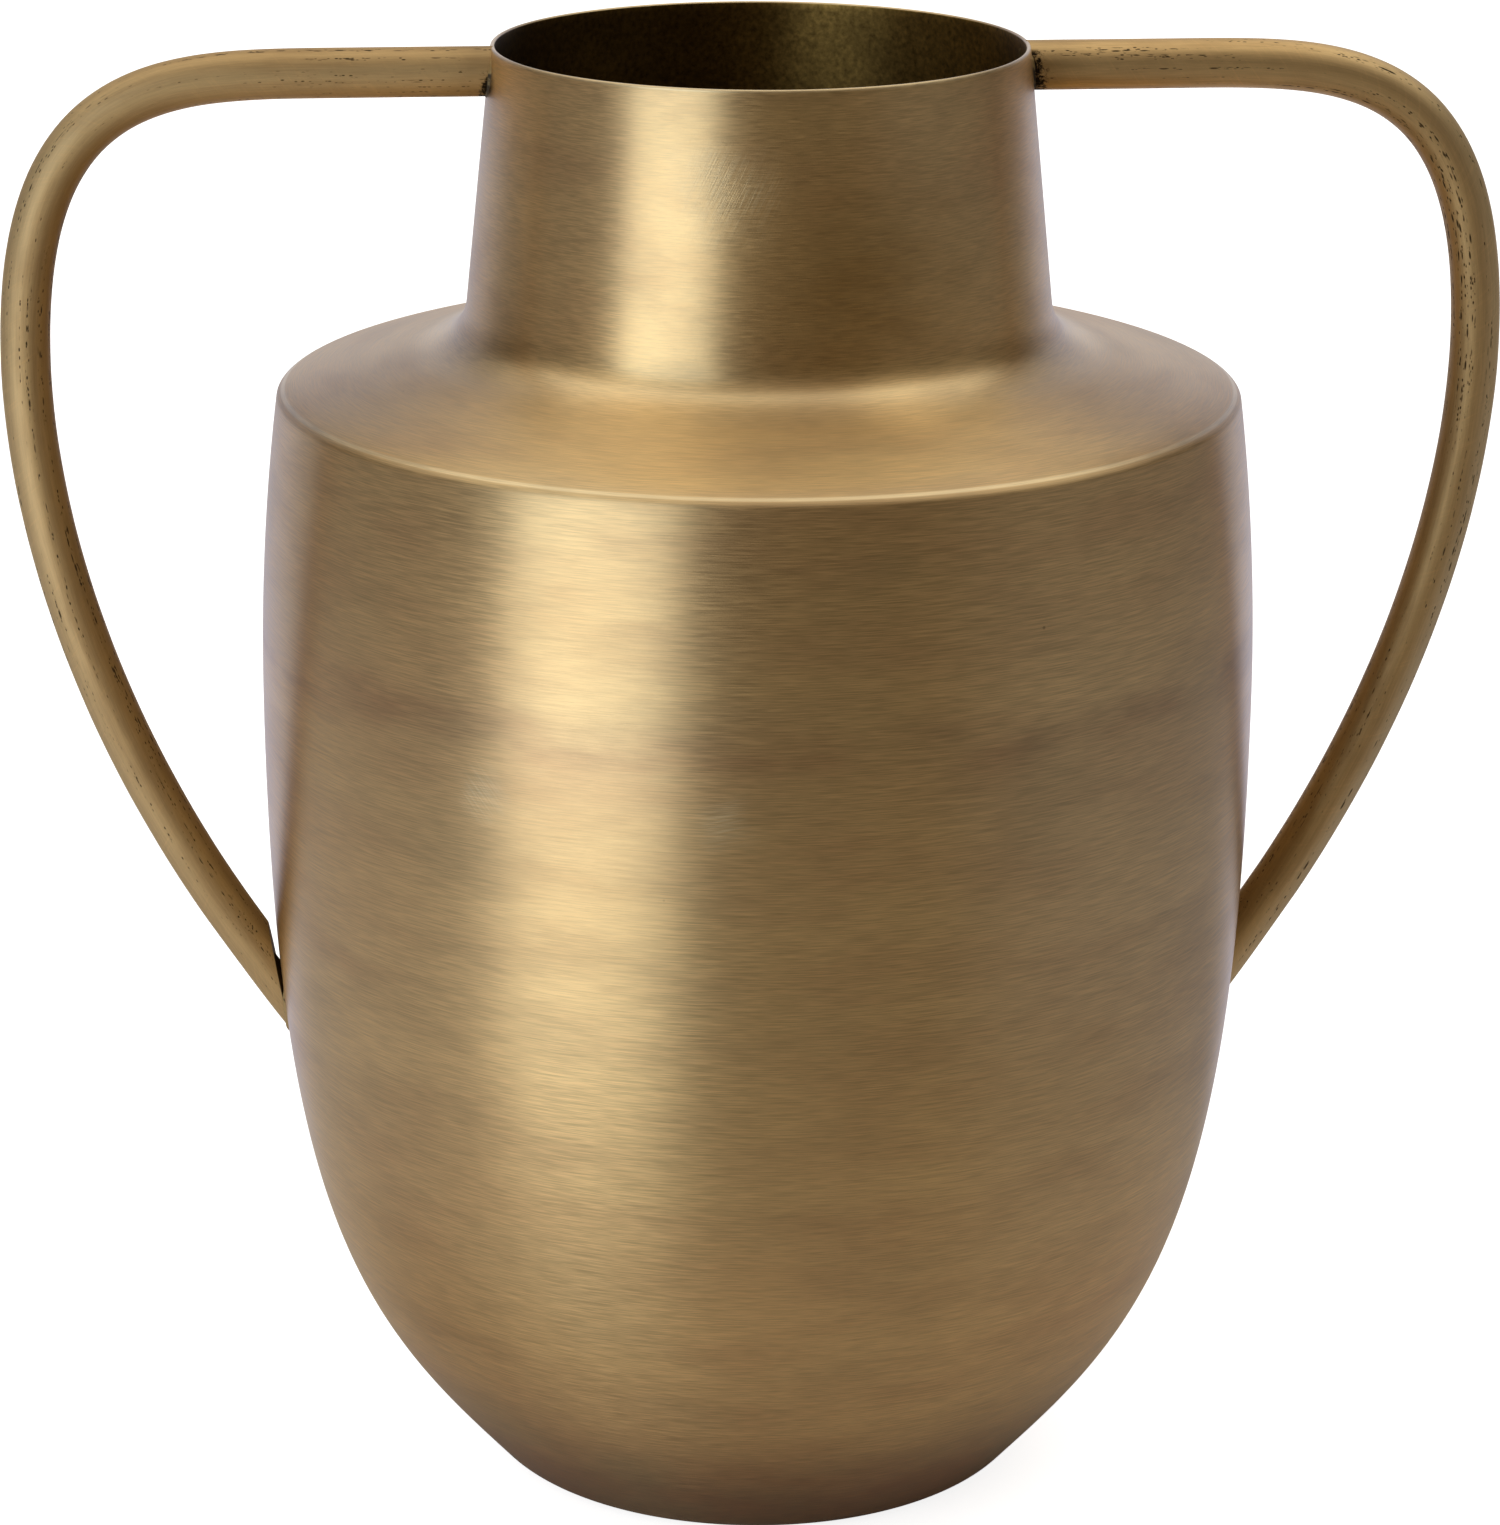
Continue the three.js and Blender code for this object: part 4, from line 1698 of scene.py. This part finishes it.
@dataclass
class Studio:
    """The floor, the light and the camera at the photograph's place."""

    turn: float = math.radians(5.45)
    distance: float = 1056.9 * MM
    eye_height: float = 475.75 * MM
    pitch: float = 0.29943
    roll: float = 0.00445
    photo_width: float = 1500.0
    photo_height: float = 1525.0
    focal_pixels: float = 5310.7
    axis_column: float = 757.41
    sensor: float = 36.0
    floor_size: float = 12.0
    lamps: tuple[Lamp, ...] = (Lamp("softbox", math.radians(36), 0.49, 0.85, 1.99),)
    walls: Room = Room((0.055, 0.038, 0.014), (0.095, 0.087, 0.085), (0.09, 0.08, 0.072), (0.36, 0.37, 0.49))
    # The floor's painted glow in reflections, by side.
    ground: Room = Room((0.03, 0.02, 0.008), (0.25, 0.25, 0.28), (0.085, 0.10, 0.16), (0.48, 0.50, 0.70))
    backdrop: Colour = (0.75, 0.73, 0.76)
    # A painted pool of light on the floor, seen in reflections.
    pool_colour: Colour = (2.55, 2.65, 2.75)
    pool_bearing: float = math.radians(38)
    pool_distance: float = 0.66
    pool_size: tuple[float, float] = (0.34, 0.1)
    ground_end: tuple[float, float] = (0.7, 1.15)
    back_bearing: float = math.radians(-25)
    beyond_bearing: float = math.radians(4)
    overhead: Colour = (1.14, 1.1, 1.0)
    ceiling: Colour = (0.36, 0.315, 0.27)
    white: Colour = (1.0, 1.0, 1.0)
    black: Colour = (0.0, 0.0, 0.0)
    sheet: tuple[float, float] = (0.11, 0.3)
    sheet_pale: Colour = (0.735, 0.665, 0.60)
    sheet_dim: Colour = (0.30, 0.285, 0.265)
    paper_glow: Colour = (0.85, 0.85, 0.85)
    paper_shade: Colour = (0.9, 0.9, 0.9)
    paper_roughness: float = 0.9
    # Each edge tells where one of the room's colours begins and is full, as the cosine of an angle.
    left_edge: tuple[float, float] = (-0.3, -0.85)
    right_edge: tuple[float, float] = (0.55, 1.0)
    back_edge: tuple[float, float] = (0.8, 1.0)
    back_share: float = 0.87
    beyond_edge: tuple[float, float] = (0.6, 0.92)
    backdrop_edge: tuple[float, float] = (0.92, 0.99)
    ceiling_edge: tuple[float, float] = (0.3, 0.9)
    overhead_edge: tuple[float, float] = (0.35, 0.95)
    overhead_front: tuple[float, float] = (-0.5, 0.05)

    def __post_init__(self) -> None:
        """Works out the level directions of the view and the room."""
        self.ahead = self.level(self.turn)
        self.right = Vector((self.ahead.y, -self.ahead.x, 0.0))
        self.behind = self.level(self.turn + self.back_bearing)
        self.beyond = self.level(self.turn + self.beyond_bearing)

    @staticmethod
    def level(bearing: float) -> Vector:
        """Gives the level direction at a bearing from +Y, clockwise from above."""
        return Vector((math.sin(bearing), math.cos(bearing), 0.0))

    def build(self) -> None:
        """Makes the floor, the light and the camera."""
        bpy.context.scene.view_settings.view_transform = "Standard"
        self.floor()
        self.world()
        for lamp in self.lamps:
            self.stand(lamp)
        self.camera()

    def surroundings(self, graph: Graph, way: Signal, room: Room) -> Signal:
        """Gives the room's colour near the horizon.

        Args:
            graph: the graph of the world or the floor.
            way: the way from the vase, one unit long.
            room: the colours round the vase.

        Returns:
            The colour as a signal.
        """
        aside = graph.dot(way, self.right)
        colour = graph.mix(aside.ramp(*self.left_edge), room.front, room.left)
        colour = graph.mix(aside.ramp(*self.right_edge), colour, room.right)
        lit = graph.dot(way, self.behind).ramp(*self.back_edge) * self.back_share
        straight = graph.dot(way, self.beyond).ramp(*self.beyond_edge)
        return graph.mix(graph.maths("MAXIMUM", lit, straight), colour, room.back)

    def rays(self, graph: Graph) -> tuple[Signal, Signal]:
        """Tells the rays that see the background from those that only carry light.

        Args:
            graph: the graph of the world or the floor.

        Returns:
            1 for the camera's rays, and 1 for rays from the camera, a reflection or glass.
        """
        path = graph.node("ShaderNodeLightPath").outputs
        kinds = ("Is Camera Ray", "Is Glossy Ray", "Is Transmission Ray")
        camera, glossy, through = (Signal(graph, path[kind]) for kind in kinds)
        return camera, graph.maths("MINIMUM", camera + glossy + through, 1.0)

    def floor(self) -> None:
        """Lays the floor: white paper to the camera, and to the metal a painted glow of the room's ground."""
        half = self.floor_size / 2
        mesh = bpy.data.meshes.new("floor")
        corners = [(-half, -half, 0), (half, -half, 0), (half, half, 0), (-half, half, 0)]
        mesh.from_pydata(corners, [], [(0, 1, 2, 3)])
        floor = bpy.data.objects.new("floor", mesh)
        bpy.context.scene.collection.objects.link(floor)
        mesh.materials.append(self.paper())

    def paper(self) -> bpy.types.Material:
        """Makes the floor's material, with a painted pool of light where the lamp would light the floor.

        Returns:
            The new material.
        """
        paper = bpy.data.materials.new("floor_paper")
        graph = Graph.fresh(paper)
        place = graph.out("ShaderNodeTexCoord", output="Object")
        length = graph.distance(place, (0.0, 0.0, 0.0))
        far = length.ramp(*self.sheet)
        way = graph.vector_maths("NORMALIZE", place)
        # Reflections see the floor glow with painted room colours and a painted pool of light; the camera
        # sees even white.
        room = graph.mix(far, self.black, self.surroundings(graph, way, self.ground))
        room = graph.mix(length.ramp(*self.ground_end), room, self.surroundings(graph, way, self.walls))
        pool_place = -self.level(self.turn + self.pool_bearing) * self.pool_distance
        pool = graph.distance(place, pool_place).ramp(*self.pool_size)
        room = graph.mix(pool, room, self.pool_colour)
        camera, seen = self.rays(graph)
        glow = graph.mix(camera, graph.mix(seen, self.black, room), self.paper_glow)
        shade = graph.mix(far, self.sheet_pale, self.sheet_dim)
        shade = graph.mix(camera, shade, self.paper_shade)
        inputs = {"Base Color": shade, "Roughness": self.paper_roughness}
        graph.shade({**inputs, "Emission Color": glow, "Emission Strength": 1.0})
        return paper

    def world(self) -> None:
        """Sets the room that lights the vase and shows in the metal, and the white that the camera sees."""
        world = bpy.data.worlds.new("studio_room")
        bpy.context.scene.world = world
        graph = Graph.fresh(world)
        way = graph.out("ShaderNodeTexCoord", output="Generated")
        forward, rise = graph.dot(way, self.ahead), graph.parts(way)[2]
        colour = self.surroundings(graph, way, self.walls)
        colour = graph.mix(forward.ramp(*self.backdrop_edge), colour, self.backdrop)
        colour = graph.mix(rise.ramp(*self.ceiling_edge), colour, self.ceiling)
        above = rise.ramp(*self.overhead_edge) * forward.ramp(*self.overhead_front)
        colour = graph.mix(above, colour, self.overhead)
        camera, _ = self.rays(graph)
        colour = graph.mix(camera, colour, self.white)
        sky = graph.node("ShaderNodeBackground", None, {"Color": colour, "Strength": 1.0})
        graph.node("ShaderNodeOutputWorld", None, {"Surface": sky.outputs[0]})

    def stand(self, lamp: Lamp) -> None:
        """Stands one lamp on the floor.

        Args:
            lamp: its size, place and power.
        """
        data = bpy.data.lights.new(lamp.name, "AREA")
        data.shape = "RECTANGLE"
        data.size = lamp.width
        data.size_y = lamp.height
        data.energy = lamp.power
        data.color = lamp.colour
        stand = bpy.data.objects.new(lamp.name, data)
        stand.visible_camera = False
        outward = -self.level(self.turn + lamp.bearing)
        stand.location = outward * lamp.distance + Vector((0, 0, lamp.height / 2))
        stand.rotation_euler = (-outward).to_track_quat("-Z", "Y").to_euler()
        bpy.context.scene.collection.objects.link(stand)

    def camera(self) -> None:
        """Sets up the camera that was worked out from the vase's outline."""
        data = bpy.data.cameras.new("camera")
        data.sensor_width = self.sensor
        data.lens = self.focal_pixels / self.photo_height * self.sensor
        camera = bpy.data.objects.new("camera", data)
        yaw = math.atan((self.axis_column - self.photo_width / 2) / self.focal_pixels)
        bearing = self.turn - yaw
        forward = self.level(bearing) * math.cos(self.pitch) - Vector((0, 0, math.sin(self.pitch)))
        right = Vector((math.cos(bearing), -math.sin(bearing), 0.0))
        basis = Matrix((right, right.cross(forward), -forward)).transposed()
        basis = basis @ Matrix.Rotation(self.roll, 3, "Z")
        place = Matrix.Translation(-self.ahead * self.distance + Vector((0, 0, self.eye_height)))
        camera.matrix_world = place @ basis.to_4x4()
        bpy.context.scene.collection.objects.link(camera)
        bpy.context.scene.camera = camera


def main() -> None:
    """Builds the vase and its studio."""
    logging.basicConfig(level=logging.INFO, format="%(name)s: %(message)s")
    skins = SkinTree()
    vessel = Vessel(skins)
    vessel.build()
    bore_shade, filler = BORE_SHADE.material(), BrazeBrass().material()
    for side, finish in ((Side.LEFT, LEFT_TUBE), (Side.RIGHT, RIGHT_TUBE)):
        Handle(side, vessel, skins, finish.material(), bore_shade, filler).build()
    Studio().build()


if __name__ == "__main__":
    main()
